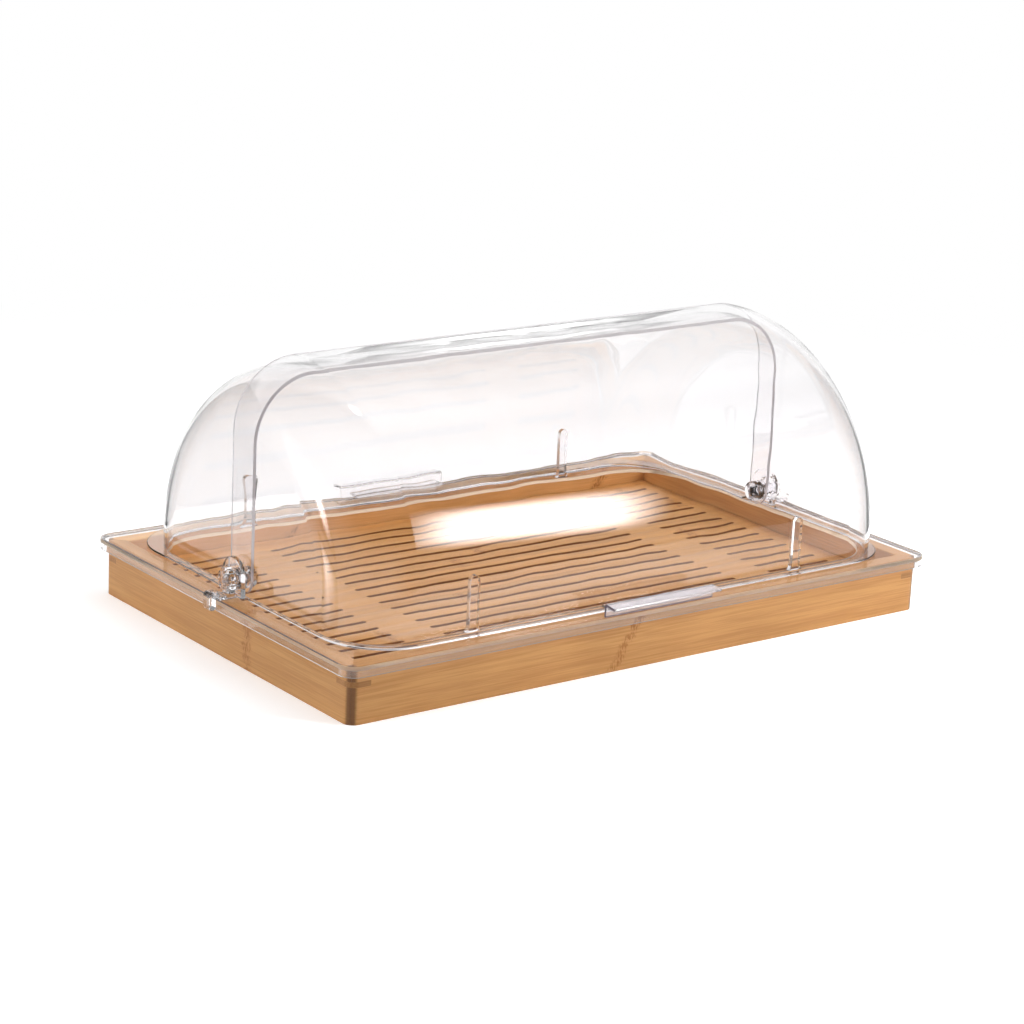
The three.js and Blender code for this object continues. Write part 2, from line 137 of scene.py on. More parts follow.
def settle(mesh: Mesh, smooth_below: float, merge: bool = False) -> None:
    """Turns a mesh's faces outwards and sets its smooth and sharp edges.

    Args:
        mesh: the mesh.
        smooth_below: edges that turn less than this, in degrees, shade smooth.
        merge: True where corners that lie together are joined first.
    """
    work = bmesh.new()
    work.from_mesh(mesh)
    if merge:
        bmesh.ops.remove_doubles(work, verts=work.verts, dist=TINY)
    bmesh.ops.recalc_face_normals(work, faces=work.faces)
    work.to_mesh(mesh)
    work.free()
    mesh.polygons.foreach_set("use_smooth", [True] * len(mesh.polygons))
    mesh.set_sharp_from_angle(angle=math.radians(smooth_below))


def link_piece(name: str, solid: Solid, materials: Sequence[Material], smooth_below: float = 32.0,
               face_slots: Sequence[int] | None = None) -> Object:
    """Links a solid given in millimetres as one object in metres.

    Args:
        name: name of the piece.
        solid: its corners, and the corner numbers of each face.
        materials: one material for each slot.
        smooth_below: edges that turn less than this, in degrees, shade smooth.
        face_slots: slot number of each face, or None where all use the first.

    Returns:
        The linked object.
    """
    mesh = bpy.data.meshes.new(name)
    mesh.from_pydata([[c * METRES for c in point] for point in solid[0]], [], solid[1])
    for material in materials:
        mesh.materials.append(material)
    if face_slots is not None:
        mesh.polygons.foreach_set("material_index", face_slots)
    settle(mesh, smooth_below)
    mesh.validate()
    return linked(name, mesh)


def flatten_shading(piece: Object) -> None:
    """Weights a piece's normals by face size, so that its flat faces stay optically flat.

    Args:
        piece: the piece.
    """
    weighted = piece.modifiers.new("flat_faces", "WEIGHTED_NORMAL")
    weighted.mode = "FACE_AREA_WITH_ANGLE"
    weighted.keep_sharp = True


def soften(piece: Object, width: float, segments: int = 2, above: float = 60.0) -> None:
    """Rounds a piece's hard edges.

    Args:
        piece: the piece.
        width: size of the round in millimetres.
        segments: facets in the round.
        above: only edges that turn more than this, in degrees, are rounded.
    """
    bevel = piece.modifiers.new("edge_round", "BEVEL")
    bevel.width = width * METRES
    bevel.segments = segments
    bevel.limit_method = "ANGLE"
    bevel.angle_limit = math.radians(above)
    flatten_shading(piece)


def banded(loops: Sequence[Sequence[Point]], closed_along: bool) -> Solid:
    """Skins a row of closed sections.

    Args:
        loops: sections with the same number of corners.
        closed_along: True where the last section joins the first; otherwise both ends are capped.

    Returns:
        The corners and the faces.
    """
    size = len(loops[0])
    points = [point for loop in loops for point in loop]
    faces = []
    for row in range(len(loops) if closed_along else len(loops) - 1):
        here, there = row * size, (row + 1) % len(loops) * size
        for k in range(size):
            n = (k + 1) % size
            faces.append([here + k, here + n, there + n, there + k])
    if not closed_along:
        faces.append(list(range(size)))
        faces.append(list(range(len(points) - size, len(points))))
    return points, faces


def extruded(outline: Sequence[Pair], low: float, high: float,
             place: Callable[[float, float, float], Point]) -> Solid:
    """Extrudes an outline; place turns its two coordinates and a depth into a point."""
    return banded([[place(a, b, depth) for a, b in outline] for depth in (low, high)], False)


def along_x(a: float, b: float, depth: float) -> Point:
    """Places an upright section in the YZ plane."""
    return depth, a, b


def along_y(a: float, b: float, depth: float) -> Point:
    """Places an upright section in the XZ plane."""
    return a, depth, b


def joined(solids: Sequence[Solid]) -> Solid:
    """Puts several solids into one.

    Args:
        solids: the solids, in order.

    Returns:
        All corners and all faces.
    """
    points: list[Point] = []
    faces: list[list[int]] = []
    for part, part_faces in solids:
        faces += [[k + len(points) for k in face] for face in part_faces]
        points += part
    return points, faces


def arc(cx: float, cy: float, radius: float, start: float, end: float, steps: int) -> list[Pair]:
    """Points on an arc, both ends included; the angles are in degrees."""
    turns = [math.radians(start + (end - start) * k / steps) for k in range(steps + 1)]
    return [(cx + radius * math.cos(a), cy + radius * math.sin(a)) for a in turns]


def rounded_corner(half_x: float, half_y: float, radius: float, corner: int, angle: float) -> Pair:
    """A point on a rounded rectangle's corner.

    Args:
        half_x: half its length.
        half_y: half its depth.
        radius: of its corners.
        corner: 0 to 3, anticlockwise from the +X +Y one.
        angle: 0 to 90 degrees round that corner.

    Returns:
        X and Y.
    """
    sx, sy = ((1, 1), (-1, 1), (-1, -1), (1, -1))[corner]
    turn = math.radians(corner * 90 + angle)
    return (sx * (half_x - radius) + radius * math.cos(turn),
            sy * (half_y - radius) + radius * math.sin(turn))


def box_of(node: str) -> tuple[Vector, Vector]:
    """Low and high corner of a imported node, in millimetres."""
    low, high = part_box(node)
    return low / METRES, high / METRES


def hand_over(piece: Object, body: str, node: str) -> None:
    """Puts a piece on its body and the node that it stands for.

    Args:
        piece: the piece.
        body: name of the body it rides on.
        node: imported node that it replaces.
    """
    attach(piece, body)
    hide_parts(node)
    LOG.info("built %s on %s", piece.name, body)


# Shader building


class Shader:
    """Adds nodes to a tree and links them by socket name."""

    def __init__(self, tree: NodeTree) -> None:
        """Keeps the tree, emptied of nodes."""
        self.tree = tree
        tree.nodes.clear()

    def add(self, kind: str, links: dict | None = None, **settings: object) -> Node:
        """Adds one node.

        Args:
            kind: Blender's name of the node type.
            links: input name or number to a value or an output socket.
            settings: attributes of the node.

        Returns:
            The node.
        """
        node = self.tree.nodes.new(kind)
        for key, value in settings.items():
            setattr(node, key, value)
        for key, value in (links or {}).items():
            if isinstance(value, NodeSocket):
                self.tree.links.new(value, node.inputs[key])
            else:
                node.inputs[key].default_value = value
        return node

    def math(self, operation: str, a: object, b: object = 0.0, c: object = 0.0) -> NodeSocket:
        """Adds a Math node and returns its output."""
        return self.add("ShaderNodeMath", {0: a, 1: b, 2: c}, operation=operation).outputs[0]

    def mix(self, factor: object, a: object, b: object) -> NodeSocket:
        """Adds a colour mix of a and b and returns its output."""
        return self.add("ShaderNodeMix", {0: factor, 6: a, 7: b}, data_type="RGBA").outputs[2]

    def ramp(self, value: object, low: float, high: float, to_low: float = 0.0,
             to_high: float = 1.0) -> NodeSocket:
        """Adds a smooth Map Range from low..high to to_low..to_high and returns its output."""
        return self.add("ShaderNodeMapRange", {0: value, 1: low, 2: high, 3: to_low, 4: to_high},
                        interpolation_type="SMOOTHSTEP").outputs[0]

    def noise(self, vector: NodeSocket, scale: object, detail: float, **more: float) -> NodeSocket:
        """Adds a Noise Texture and returns its value."""
        return self.add("ShaderNodeTexNoise", {"Vector": vector, "Scale": scale, "Detail": detail,
                                               **more}).outputs[0]


def group_tree(name: str, inputs: dict[str, object],
               outputs: dict[str, str]) -> tuple[Shader, Node, Node]:
    """Makes an empty shader node group with named sockets.

    Args:
        name: of the group.
        inputs: name and default of each input; a default of None makes a vector, and four numbers
            make a colour.
        outputs: name and kind of each output.

    Returns:
        The shader helper, the group's input node and its output node.
    """
    tree = bpy.data.node_groups.new(name, "ShaderNodeTree")
    kinds = {type(None): "NodeSocketVector", tuple: "NodeSocketColor", float: "NodeSocketFloat"}
    for label, default in inputs.items():
        socket = tree.interface.new_socket(label, in_out="INPUT", socket_type=kinds[type(default)])
        if default is not None:
            socket.default_value = default
    for label, kind in outputs.items():
        tree.interface.new_socket(label, in_out="OUTPUT", socket_type=f"NodeSocket{kind}")
    shader = Shader(tree)
    return shader, shader.add("NodeGroupInput"), shader.add("NodeGroupOutput")


class Effects:
    """The node groups that several finishes share, each built once."""

    def __init__(self) -> None:
        """Builds all the groups."""
        self.grain = self._grain()
        self.cut_faces = self._cut_faces()
        self.handling = self._handling()

    @staticmethod
    def _grain() -> NodeTree:
        """Bamboo strips with long fibres and knuckles.

        Returns:
            The group. Its vector runs along, across and through the strips, in metres.
        """
        s, node, out = group_tree("bamboo_grain", {
            "Vector": None, "Light": (0.7, 0.45, 0.25, 1), "Dark": (0.5, 0.28, 0.13, 1),
            "Knuckle": (0.3, 0.15, 0.06, 1), "Strip Width": 0.02, "Knuckle Pitch": 0.28,
            "Knuckle Start": 0.0, "Knuckle Lean": 0.0, "Knuckle Spread": 7.3,
            "Strip Contrast": 0.25, "Seed": 0.0},
            {"Color": "Color", "Fibre": "Float", "Height": "Float"})
        given = node.outputs
        split = s.add("ShaderNodeSeparateXYZ", {0: given["Vector"]})
        along, across, through = split.outputs
        strip = s.math("FLOOR", s.math("DIVIDE", across, given["Strip Width"]))
        tone = s.add("ShaderNodeTexWhiteNoise", {"W": s.math("ADD", strip, given["Seed"])},
                     noise_dimensions="1D").outputs["Value"]
        strip_shift = 3.7
        shifted = s.math("ADD", along, s.math("MULTIPLY", tone, strip_shift))

        def streaks(length: float, width: float, detail: float = 1.0) -> NodeSocket:
            """Noise drawn out along the strips.

            Args:
                length: its size along them, in metres.
                width: its size across and through them.
                detail: octaves.

            Returns:
                The noise.
            """
            place = s.add("ShaderNodeCombineXYZ", {
                0: s.math("DIVIDE", shifted, length), 1: s.math("DIVIDE", across, width),
                2: s.math("DIVIDE", through, width)})
            return s.noise(place.outputs[0], 1.0, detail, Roughness=0.62)

        def swing(value: NodeSocket, size: object, base: object = 0.0) -> NodeSocket:
            """The base moved by a noise that swings over size about it."""
            return s.math("MULTIPLY_ADD", s.math("SUBTRACT", value, 0.5), size, base)

        fine = streaks(0.05, 0.0011, 3.0)
        broad = streaks(0.22, 0.0075, 2.0)
        cloud = streaks(0.09, 0.05)
        leaning = s.math("MULTIPLY_ADD", across, s.math("MULTIPLY", given["Knuckle Lean"], -1.0),
                         s.math("SUBTRACT", along, given["Knuckle Start"]))
        turn = s.math("DIVIDE", swing(streaks(0.03, 0.006), 0.006, leaning), given["Knuckle Pitch"])
        turn = s.math("ADD", turn, s.math("MULTIPLY_ADD", tone, given["Knuckle Spread"], 0.5))
        gap = s.math("MULTIPLY", s.math("ABSOLUTE", swing(s.math("FRACT", turn), 1.0)),
                     given["Knuckle Pitch"])
        ragged = swing(streaks(0.012, 0.005), 0.016, gap)
        line = s.ramp(swing(fine, 0.004, gap), 0.0002, 0.0015, 1.0, 0.0)
        dashes = s.ramp(streaks(0.0013, 0.0042), 0.44, 0.58, 0.12, 1.0)
        halo = s.math("MULTIPLY", s.ramp(ragged, 0.001, 0.0065, 1.0, 0.0), dashes)
        mixed = s.math("ADD", s.math("MULTIPLY", fine, 0.62), s.math("MULTIPLY", broad, 0.38))
        body = s.mix(s.ramp(mixed, 0.34, 0.66), given["Dark"], given["Light"])
        lift = swing(tone, given["Strip Contrast"], 1.0)
        lift = s.math("MULTIPLY", lift, s.ramp(cloud, 0.25, 0.75, 0.93, 1.05))
        level = s.add("ShaderNodeCombineColor", {0: lift, 1: lift, 2: lift}).outputs[0]
        toned = s.add("ShaderNodeMix", {0: 1.0, 6: body, 7: level}, data_type="RGBA",
                      blend_type="MULTIPLY").outputs[2]
        marked = s.math("ADD", s.math("MULTIPLY", line, 0.06), s.math("MULTIPLY", halo, 0.72))
        ringed = s.mix(marked, toned, given["Knuckle"])
        seam = s.math("PINGPONG", s.math("DIVIDE", across, given["Strip Width"]), 0.5)
        edged = s.mix(s.ramp(seam, 0.0, 0.018, 0.22, 0.0), ringed, given["Knuckle"])
        height = s.math("SUBTRACT", s.math("MULTIPLY", fine, 0.7), s.math("MULTIPLY", line, 0.3))
        for label, value in (("Color", edged), ("Fibre", fine), ("Height", height)):
            s.tree.links.new(value, out.inputs[label])
        return s.tree

    @staticmethod
    def _cut_faces() -> NodeTree:
        """Mask of the upright faces, such as the sides of a slot, where painted shade goes.

        Returns:
            The group.
        """
        s, _, out = group_tree("cut_faces", {}, {"Mask": "Float"})
        normal = s.add("ShaderNodeNewGeometry").outputs["True Normal"]
        up = s.math("ABSOLUTE", s.add("ShaderNodeSeparateXYZ", {0: normal}).outputs[2])
        s.tree.links.new(s.ramp(up, 0.2, 0.75, 1.0, 0.0), out.inputs["Mask"])
        return s.tree

    @staticmethod
    def _handling() -> NodeTree:
        """Faint smears that handling leaves on polished plastic, and the plastic's own waviness.

        Returns:
            The group.
        """
        s, node, out = group_tree("handling_marks", {
            "Vector": None, "Clean": 0.01, "Smeared": 0.05, "Wave Scale": 9.0},
            {"Roughness": "Float", "Height": "Float"})
        given = node.outputs
        smear = s.noise(given["Vector"], 14.0, 3.0, Roughness=0.55, Distortion=1.2)
        wave = s.noise(given["Vector"], given["Wave Scale"], 1.0)
        rough = s.add("ShaderNodeMapRange", {
            0: smear, 1: 0.5, 2: 0.8, 3: given["Clean"], 4: given["Smeared"]}).outputs[0]
        s.tree.links.new(rough, out.inputs["Roughness"])
        s.tree.links.new(wave, out.inputs["Height"])
        return s.tree


# Finishes


def surface_only(name: str) -> tuple[Material, Shader]:
    """Starts a material.

    Args:
        name: of the material.

    Returns:
        The material, and the helper that fills its node tree.
    """
    material = bpy.data.materials.new(name)
    material.use_nodes = True
    return material, Shader(material.node_tree)


@dataclass(frozen=True)
class BambooFinish:
    """Satin lacquered bamboo strips."""

    name: str
    run: GrainRun
    light: Colour = (0.69, 0.36, 0.133)
    dark: Colour = (0.55, 0.255, 0.080)
    knuckle: Colour = (0.36, 0.125, 0.025)
    # Painted shade on upright faces such as slot sides: its colour, and how strongly it is mixed
    # in.
    scorch: Colour = (0.22, 0.062, 0.01)
    scorched: float = 0.0
    strip_width: float = 20.5
    knuckle_pitch: float = 265.0
    knuckle_start: float = 0.0
    knuckle_lean: float = 0.0
    knuckle_spread: float = 7.3
    contrast: float = 0.16
    seed: float = 0.0
    roughness: float = 0.42
    # Painted shade on the rounded corners: where the rounds start, and the shade's colour.
    corner: Pair | None = None
    corner_stain: Colour = (0.16, 0.066, 0.026)

    def _stained(self, s: Shader, split: Node, colour: NodeSocket) -> NodeSocket:
        """Paints shade on the rounds at the tray's corners, darkening them.

        Args:
            s: the material's shader.
            split: node that holds the object's coordinates.
            colour: the clean colour.

        Returns:
            The colour with painted shade on the corners.
        """
        past = [s.math("SUBTRACT", s.math("ABSOLUTE", split.outputs[k]), self.corner[k] * METRES)
                for k in (0, 1)]
        mask = s.ramp(s.math("MINIMUM", *past), 0.0014, 0.0040, 0.0, 0.85)
        return s.mix(mask, colour, (*self.corner_stain, 1))

    def material(self, effects: Effects) -> Material:
        """Builds the material.

        Args:
            effects: the shared node groups.

        Returns:
            The material.
        """
        material, s = surface_only(self.name)
        split = s.add("ShaderNodeSeparateXYZ", {0: s.add("ShaderNodeTexCoord").outputs["Object"]})
        place = s.add("ShaderNodeCombineXYZ", {
            k: split.outputs[axis] for k, axis in enumerate(self.run.value)})
        grain = s.add("ShaderNodeGroup", node_tree=effects.grain)
        for label, value in {
                "Light": (*self.light, 1), "Dark": (*self.dark, 1), "Knuckle": (*self.knuckle, 1),
                "Strip Width": self.strip_width * METRES,
                "Knuckle Pitch": self.knuckle_pitch * METRES,
                "Knuckle Start": self.knuckle_start * METRES, "Knuckle Lean": self.knuckle_lean,
                "Knuckle Spread": self.knuckle_spread, "Strip Contrast": self.contrast,
                "Seed": self.seed}.items():
            grain.inputs[label].default_value = value
        s.tree.links.new(place.outputs[0], grain.inputs["Vector"])
        colour = grain.outputs["Color"]
        # Painted shade: upright faces, mostly the slot sides, are darkened towards a dark brown.
        if self.scorched:
            cut = s.add("ShaderNodeGroup", node_tree=effects.cut_faces)
            colour = s.mix(s.math("MULTIPLY", cut.outputs["Mask"], self.scorched), colour,
                           (*self.scorch, 1))
        if self.corner:
            colour = self._stained(s, split, colour)
        bump = s.add("ShaderNodeBump", {"Strength": 0.12, "Distance": 0.0003,
                                        "Height": grain.outputs["Height"]})
        swing = 0.16
        rough = s.math("MULTIPLY_ADD", grain.outputs["Fibre"], swing, self.roughness - swing / 2)
        body = s.add("ShaderNodeBsdfPrincipled", {
            "Base Color": colour, "Roughness": rough, "Normal": bump.outputs[0],
            "Specular IOR Level": 0.3, "Coat Weight": 0.06, "Coat Roughness": 0.25})
        s.add("ShaderNodeOutputMaterial", {"Surface": body.outputs[0]})
        material.diffuse_color = (*self.light, 1)
        return material


@dataclass(frozen=True)
class ClearFinish:
    """Polished clear moulded plastic that lets lamp light through."""

    name: str
    tint: Colour = (0.971, 0.963, 0.968)
    clean: float = 0.012
    smeared: float = 0.05
    through: float = 1.0
    ripple: float = 0.02
    ripple_scale: float = 9.0
    ior: float = 1.49
    shade: Colour = (0.95, 0.95, 0.955)

    def material(self, effects: Effects) -> Material:
        """Builds the material.

        Args:
            effects: the shared node groups.

        Returns:
            The material.
        """
        material, s = surface_only(self.name)
        marks = s.add("ShaderNodeGroup", {"Vector": s.add("ShaderNodeTexCoord").outputs["Object"]},
                      node_tree=effects.handling)
        for label, value in (("Clean", self.clean), ("Smeared", self.smeared),
                             ("Wave Scale", self.ripple_scale)):
            marks.inputs[label].default_value = value
        bump = s.add("ShaderNodeBump", {"Strength": self.ripple, "Distance": 0.002,
                                        "Height": marks.outputs["Height"]})
        body = s.add("ShaderNodeBsdfPrincipled", {
            "Base Color": (*self.tint, 1), "Roughness": marks.outputs["Roughness"],
            "IOR": self.ior, "Transmission Weight": self.through, "Normal": bump.outputs[0]})
        lamp = s.add("ShaderNodeBsdfTransparent", {"Color": (*self.shade, 1)})
        path = s.add("ShaderNodeLightPath")
        both = s.add("ShaderNodeMixShader", {0: path.outputs["Is Shadow Ray"], 1: body.outputs[0],
                                             2: lamp.outputs[0]})
        s.add("ShaderNodeOutputMaterial", {"Surface": both.outputs[0]})
        material.diffuse_color = (*self.tint, 0.3)
        return material


class Finishes:
    """Every material of the object, built once."""

    def __init__(self, effects: Effects) -> None:
        """Builds the materials.

        Args:
            effects: the shared node groups.
        """
        tray_round = 8.0
        corner = (box_of("tray_right_wall")[1].x - tray_round,
                  box_of("tray_rear_wall")[1].y - tray_round)

        def bamboo(name: str, run: GrainRun = GrainRun.BOARD, **looks: object) -> Material:
            """One bamboo material."""
            return BambooFinish(f"bamboo_{name}", run, **looks).material(effects)

        def wall(name: str, run: GrainRun, **looks: object) -> Material:
            """One bamboo material for a wall, which is a single board with painted shade on its
            rounded corners.
            """
            return bamboo(name, run, strip_width=90.0, knuckle_spread=0.0, corner=corner, **looks)

        def clear(name: str, **looks: object) -> Material:
            """One clear material."""
            return ClearFinish(f"clear_{name}", **looks).material(effects)

        def edge(name: str, tint: Colour, clean: float, smeared: float, through: float) -> Material:
            """One clear material with a ground surface, partly milky; with a near-black tint it
            paints shade.
            """
            return clear(name, tint=tint, clean=clean, smeared=smeared, through=through, ripple=0.0)

        # The board's slot sides carry painted shade.
        self.board = bamboo("board", strip_width=24.0, contrast=0.07, light=(0.75, 0.385, 0.13),
                            dark=(0.62, 0.283, 0.08), knuckle_pitch=900.0, scorched=0.93, seed=3.0)
        # Painted shade: the bottom panel is coloured much darker than bamboo, standing for the
        # shade under the board seen through the slots.
        self.panel = bamboo("panel", strip_width=30.0, seed=11.0, light=(0.39, 0.14, 0.03),
                            dark=(0.31, 0.10, 0.02))
        self.long_wall = wall("long_wall", GrainRun.LONG_WALL, knuckle_pitch=306.0,
                              knuckle_start=-37.0, knuckle_lean=0.6, seed=5.0)
        # Painted light: the rear wall is coloured lighter than the other walls, making up for the
        # light its inner face loses through the covers.
        self.rear_wall = wall("rear_wall", GrainRun.LONG_WALL, knuckle_pitch=306.0,
                              knuckle_start=-120.0, knuckle_lean=0.6, seed=6.0,
                              light=(0.86, 0.50, 0.205), dark=(0.74, 0.385, 0.135))
        self.short_wall = wall("short_wall", GrainRun.SHORT_WALL, knuckle_pitch=290.0,
                               knuckle_start=-37.0, seed=8.0)
        self.long_strip = bamboo("long_strip", seed=21.0)
        self.short_strip = bamboo("short_strip", GrainRun.SHORT_STRIP, seed=23.0)
        self.key = bamboo("key", light=(0.50, 0.245, 0.092), dark=(0.37, 0.16, 0.05),
                          strip_width=9.0, seed=31.0)
        self.clear = clear("cover")
        self.inside = clear("cover_inside", ripple=0.2, ripple_scale=22.0)
        self.foot = clear("cover_foot", ior=1.3, ripple=0.0)
        self.plate = clear("plate", ior=1.14)
        self.fitting = clear("fitting", tint=(0.975, 0.965, 0.975), ior=1.24, ripple=0.0)
        # Painted light: a paler, less-refracting copy of the fitting plastic, so that the right
        # end's fittings render lighter.
        self.fine_fitting = clear("fine_fitting", tint=(0.985, 0.975, 0.985), ior=1.1, ripple=0.0)
        self.cut_edge = edge("cut_edge", (0.90, 0.85, 0.90), 0.15, 0.3, 0.35)
        # Painted wood colour: these clear edges are tinted brown to stand for the wood seen through
        # them.
        self.soft_edge = edge("soft_edge", (0.91, 0.70, 0.50), 0.3, 0.42, 0.75)
        # Painted shade: a near-black edge for the frame's inner skirt corner and the front grip's
        # lower edge and ends, where shadow lines fall.
        self.dark_edge = edge("dark_edge", (0.12, 0.10, 0.14), 0.3, 0.4, 0.5)
        self.grip = edge("grip", (0.88, 0.845, 0.87), 0.06, 0.15, 0.8)
        # Painted shade: near-black, for the shadow line along the frame's left edge.
        self.seam = edge("seam", (0.03, 0.02, 0.025), 0.3, 0.4, 0.2)
        self.rim = edge("rim", (0.95, 0.93, 0.93), 0.2, 0.3, 0.6)


# Sub-assemblies


@dataclass
class Part:
    """A sub-assembly, which takes its materials from the object's finishes."""

    finishes: Finishes


@dataclass
class Tray(Part):
    """Mitred bamboo tray: walls, corner keys, ledges and the panel, all kept from the frame."""

    nodes: dict[str, Object]

    def build(self) -> None:
        """Gives the tray's nodes their bamboo."""
        look = self.finishes
        wanted = {"tray_bottom_panel": look.panel, "tray_front_wall": look.long_wall,
                  "tray_rear_wall": look.rear_wall}
        for side in Side:
            wanted[f"board_ledge_{side.word}"] = look.long_strip
        for end in End:
            wanted[f"tray_{end.word}_wall"] = look.short_wall
            wanted[f"board_ledge_{end.word}"] = look.short_strip
            for side in Side:
                wanted[f"mitre_key_{side.word}_{end.word}"] = look.key
        for name, material in wanted.items():
            self.nodes[name].data.materials.clear()
            self.nodes[name].data.materials.append(material)
            LOG.info("dressed %s", name)


@dataclass
class CrumbBoard(Part):
    """Slotted board with softly broken edges, rebuilt from the same rows of slots."""

    slot_width: float = 3.8
    pitch: float = 16.4
    side_margin: float = 15.6
    end_margin: float = 16.0
    side_length: float = 63.0
    middle_length: float = 276.0
    corner: float = 4.0
    break_edge: float = 0.45
    round_steps: int = 8

    def _slots(self, half_x: float, half_y: float) -> list[Point]:
        """Lays out the slots.

        Args:
            half_x: half the board's length.
            half_y: half its depth.

        Returns:
            Start, end and Y of every slot.
        """
        rows = math.floor((half_y - self.side_margin) * 2 / self.pitch) + 1
        far, middle = half_x - self.end_margin, self.middle_length / 2
        near = far - self.side_length
        columns = [(-far, -near), (-middle, middle), (near, far)]
        return [(start, end, (row - (rows - 1) / 2) * self.pitch)
                for row in range(rows) for start, end in columns]

    def _outline(self, half_x: float, half_y: float) -> list[list[Pair]]:
        """Draws the board's edge and the edges of its slots, set in for the rounding.

        Args:
            half_x: half the board's length.
            half_y: half its depth.

        Returns:
            The closed loops.
        """
        trim, radius = self.break_edge, self.slot_width / 2
        loops = [[rounded_corner(half_x - trim, half_y - trim, self.corner - trim, corner, angle)
                  for corner in range(4) for angle in (0, 22.5, 45, 67.5, 90)]]
        for start, end, y in self._slots(half_x, half_y):
            loops.append(arc(end - radius, y, radius + trim, -90, 90, self.round_steps)
                         + arc(start + radius, y, radius + trim, 90, 270, self.round_steps))
        return loops

    def build(self) -> None:
        """Builds the board as a filled outline with rounded edges."""
        low, high = box_of("slotted_board")
        curve = bpy.data.curves.new("slotted_board_outline", "CURVE")
        curve.dimensions = "2D"
        curve.fill_mode = "BOTH"
        curve.extrude = ((high.z - low.z) / 2 - self.break_edge) * METRES
        curve.bevel_depth = self.break_edge * METRES
        curve.bevel_resolution = 1
        for loop in self._outline(high.x, high.y):
            spline = curve.splines.new("POLY")
            spline.points.add(len(loop) - 1)
            for point, (x, y) in zip(spline.points, loop):
                point.co = (x * METRES, y * METRES, 0, 1)
            spline.use_cyclic_u = True
        source = linked("slotted_board_outline", curve)
        graph = bpy.context.evaluated_depsgraph_get()
        mesh = bpy.data.meshes.new_from_object(source.evaluated_get(graph))
        bpy.data.objects.remove(source)
        mesh.transform(Matrix.Translation((0, 0, (low.z + high.z) / 2 * METRES)))
        settle(mesh, 40.0, merge=True)
        mesh.materials.clear()
        mesh.materials.append(self.finishes.board)
        hand_over(linked("crumb_board", mesh), "board", "slotted_board")


@dataclass
class CoverFrame(Part):
    """Clear frame with a skirt over the tray's rim."""

    opening: Point
    plate: float = 3.0
    skirt: float = 3.0
    corner: float = 13.0
    edge: float = 0.25
    toe: float = 0.3
    nose: float = 0.8
    fillet: float = 0.7
    opening_radius: float = 46.0
    corner_steps: int = 16

    def _section(self, low: float, top: float) -> list[tuple[bool, float, float, int]]:
        """Draws the frame's section.

        Args:
            low: height of the skirt's lower edge.
            top: height of the plate's upper face.

        Returns:
            For each corner: whether it follows the opening, its distance in from that path, its
            height, and the material slot of the face that starts there.
        """
        # The last slot, dark, is painted shade: it goes on the skirt's inner corner under the
        # plate.
        clear, soft, flat, rim, dark = range(5)
        bottom, edge = top - self.plate, self.edge
        return [(False, self.skirt - self.toe, low, rim), (False, self.nose, low, rim),
                (False, edge, low + edge, rim), (False, 0, low + self.nose, clear),
                (False, 0, bottom, soft), (False, 0, top - edge, soft), (False, edge, top, flat),
                (True, edge, top, soft), (True, 0, top - edge, soft),
                (True, 0, bottom + edge, soft), (True, edge, bottom, flat),
                (False, self.skirt + self.fillet, bottom, dark),
                (False, self.skirt, bottom - self.fillet, clear),
                (False, self.skirt, low + self.toe, clear)]

    def build(self) -> None:
        """Builds the frame; the opening is half its length and the Y of its two long edges."""
        low, high = box_of("cover_frame")
        half_x, front, rear = self.opening
        section = self._section(low.z, high.z)
        loops = []
        for corner in range(4):
            for step in range(self.corner_steps + 1):
                angle = 90 * step / self.corner_steps
                loop = []
                for inner, d, z, _ in section:
                    middle = (rear + front) / 2 if inner else 0.0
                    path = ((half_x + d, (rear - front) / 2 + d, self.opening_radius + d) if inner
                            else (high.x - d, high.y - d, self.corner - d))
                    x, y = rounded_corner(*path, corner, angle)
                    loop.append((x, y + middle, z))
                loops.append(loop)
        slots = [slot for *_, slot in section] * len(loops)
        # Painted shade: the upper outer edge of the left side takes a near-black strip, standing
        # for the shadow line between the plate and the tray's wall.
        left_side, upper_edge, seam = 2 * (self.corner_steps + 1) - 1, 5, 5
        slots[left_side * len(section) + upper_edge] = seam
        look = self.finishes
        frame = link_piece("clear_frame", banded(loops, True),
                           [look.clear, look.soft_edge, look.plate, look.rim, look.dark_edge,
                            look.seam], face_slots=slots)
        flatten_shading(frame)
        hand_over(frame, "lid_frame", "cover_frame")


@dataclass
class Post(Part):
    """Upright blade with a round top and a spread foot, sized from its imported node."""

    side: Side
    end: End
    width: float = 8.0
    foot_height: float = 7.0
    foot_steps: int = 8
    top_steps: int = 20
    edge_round: float = 0.7

    def build(self) -> None:
        """Builds the post."""
        place = f"{self.side.word}_{self.end.word}"
        low, high = box_of(f"post_{place}")
        middle, half, reach = (low.x + high.x) / 2, self.width / 2, (high.x - low.x) / 2
        foot = []
        for t in (k / self.foot_steps for k in range(self.foot_steps + 1)):
            foot.append((reach * (1 - t) ** 2 + 2 * half * t * (1 - t) + half * t * t,
                         low.z + self.foot_height * t * t))
        outline = [(middle + x, z) for x, z in foot]
        outline += [(middle + x, z) for x, z in arc(0, high.z - half, half, 0, 180, self.top_steps)]
        outline += [(middle - x, z) for x, z in reversed(foot)]
        post = link_piece(f"clear_post_{place}", extruded(outline, low.y, high.y, along_y),
                          [self.finishes.fitting])
        soften(post, self.edge_round, 3, 50.0)
        hand_over(post, "lid_frame", f"post_{place}")


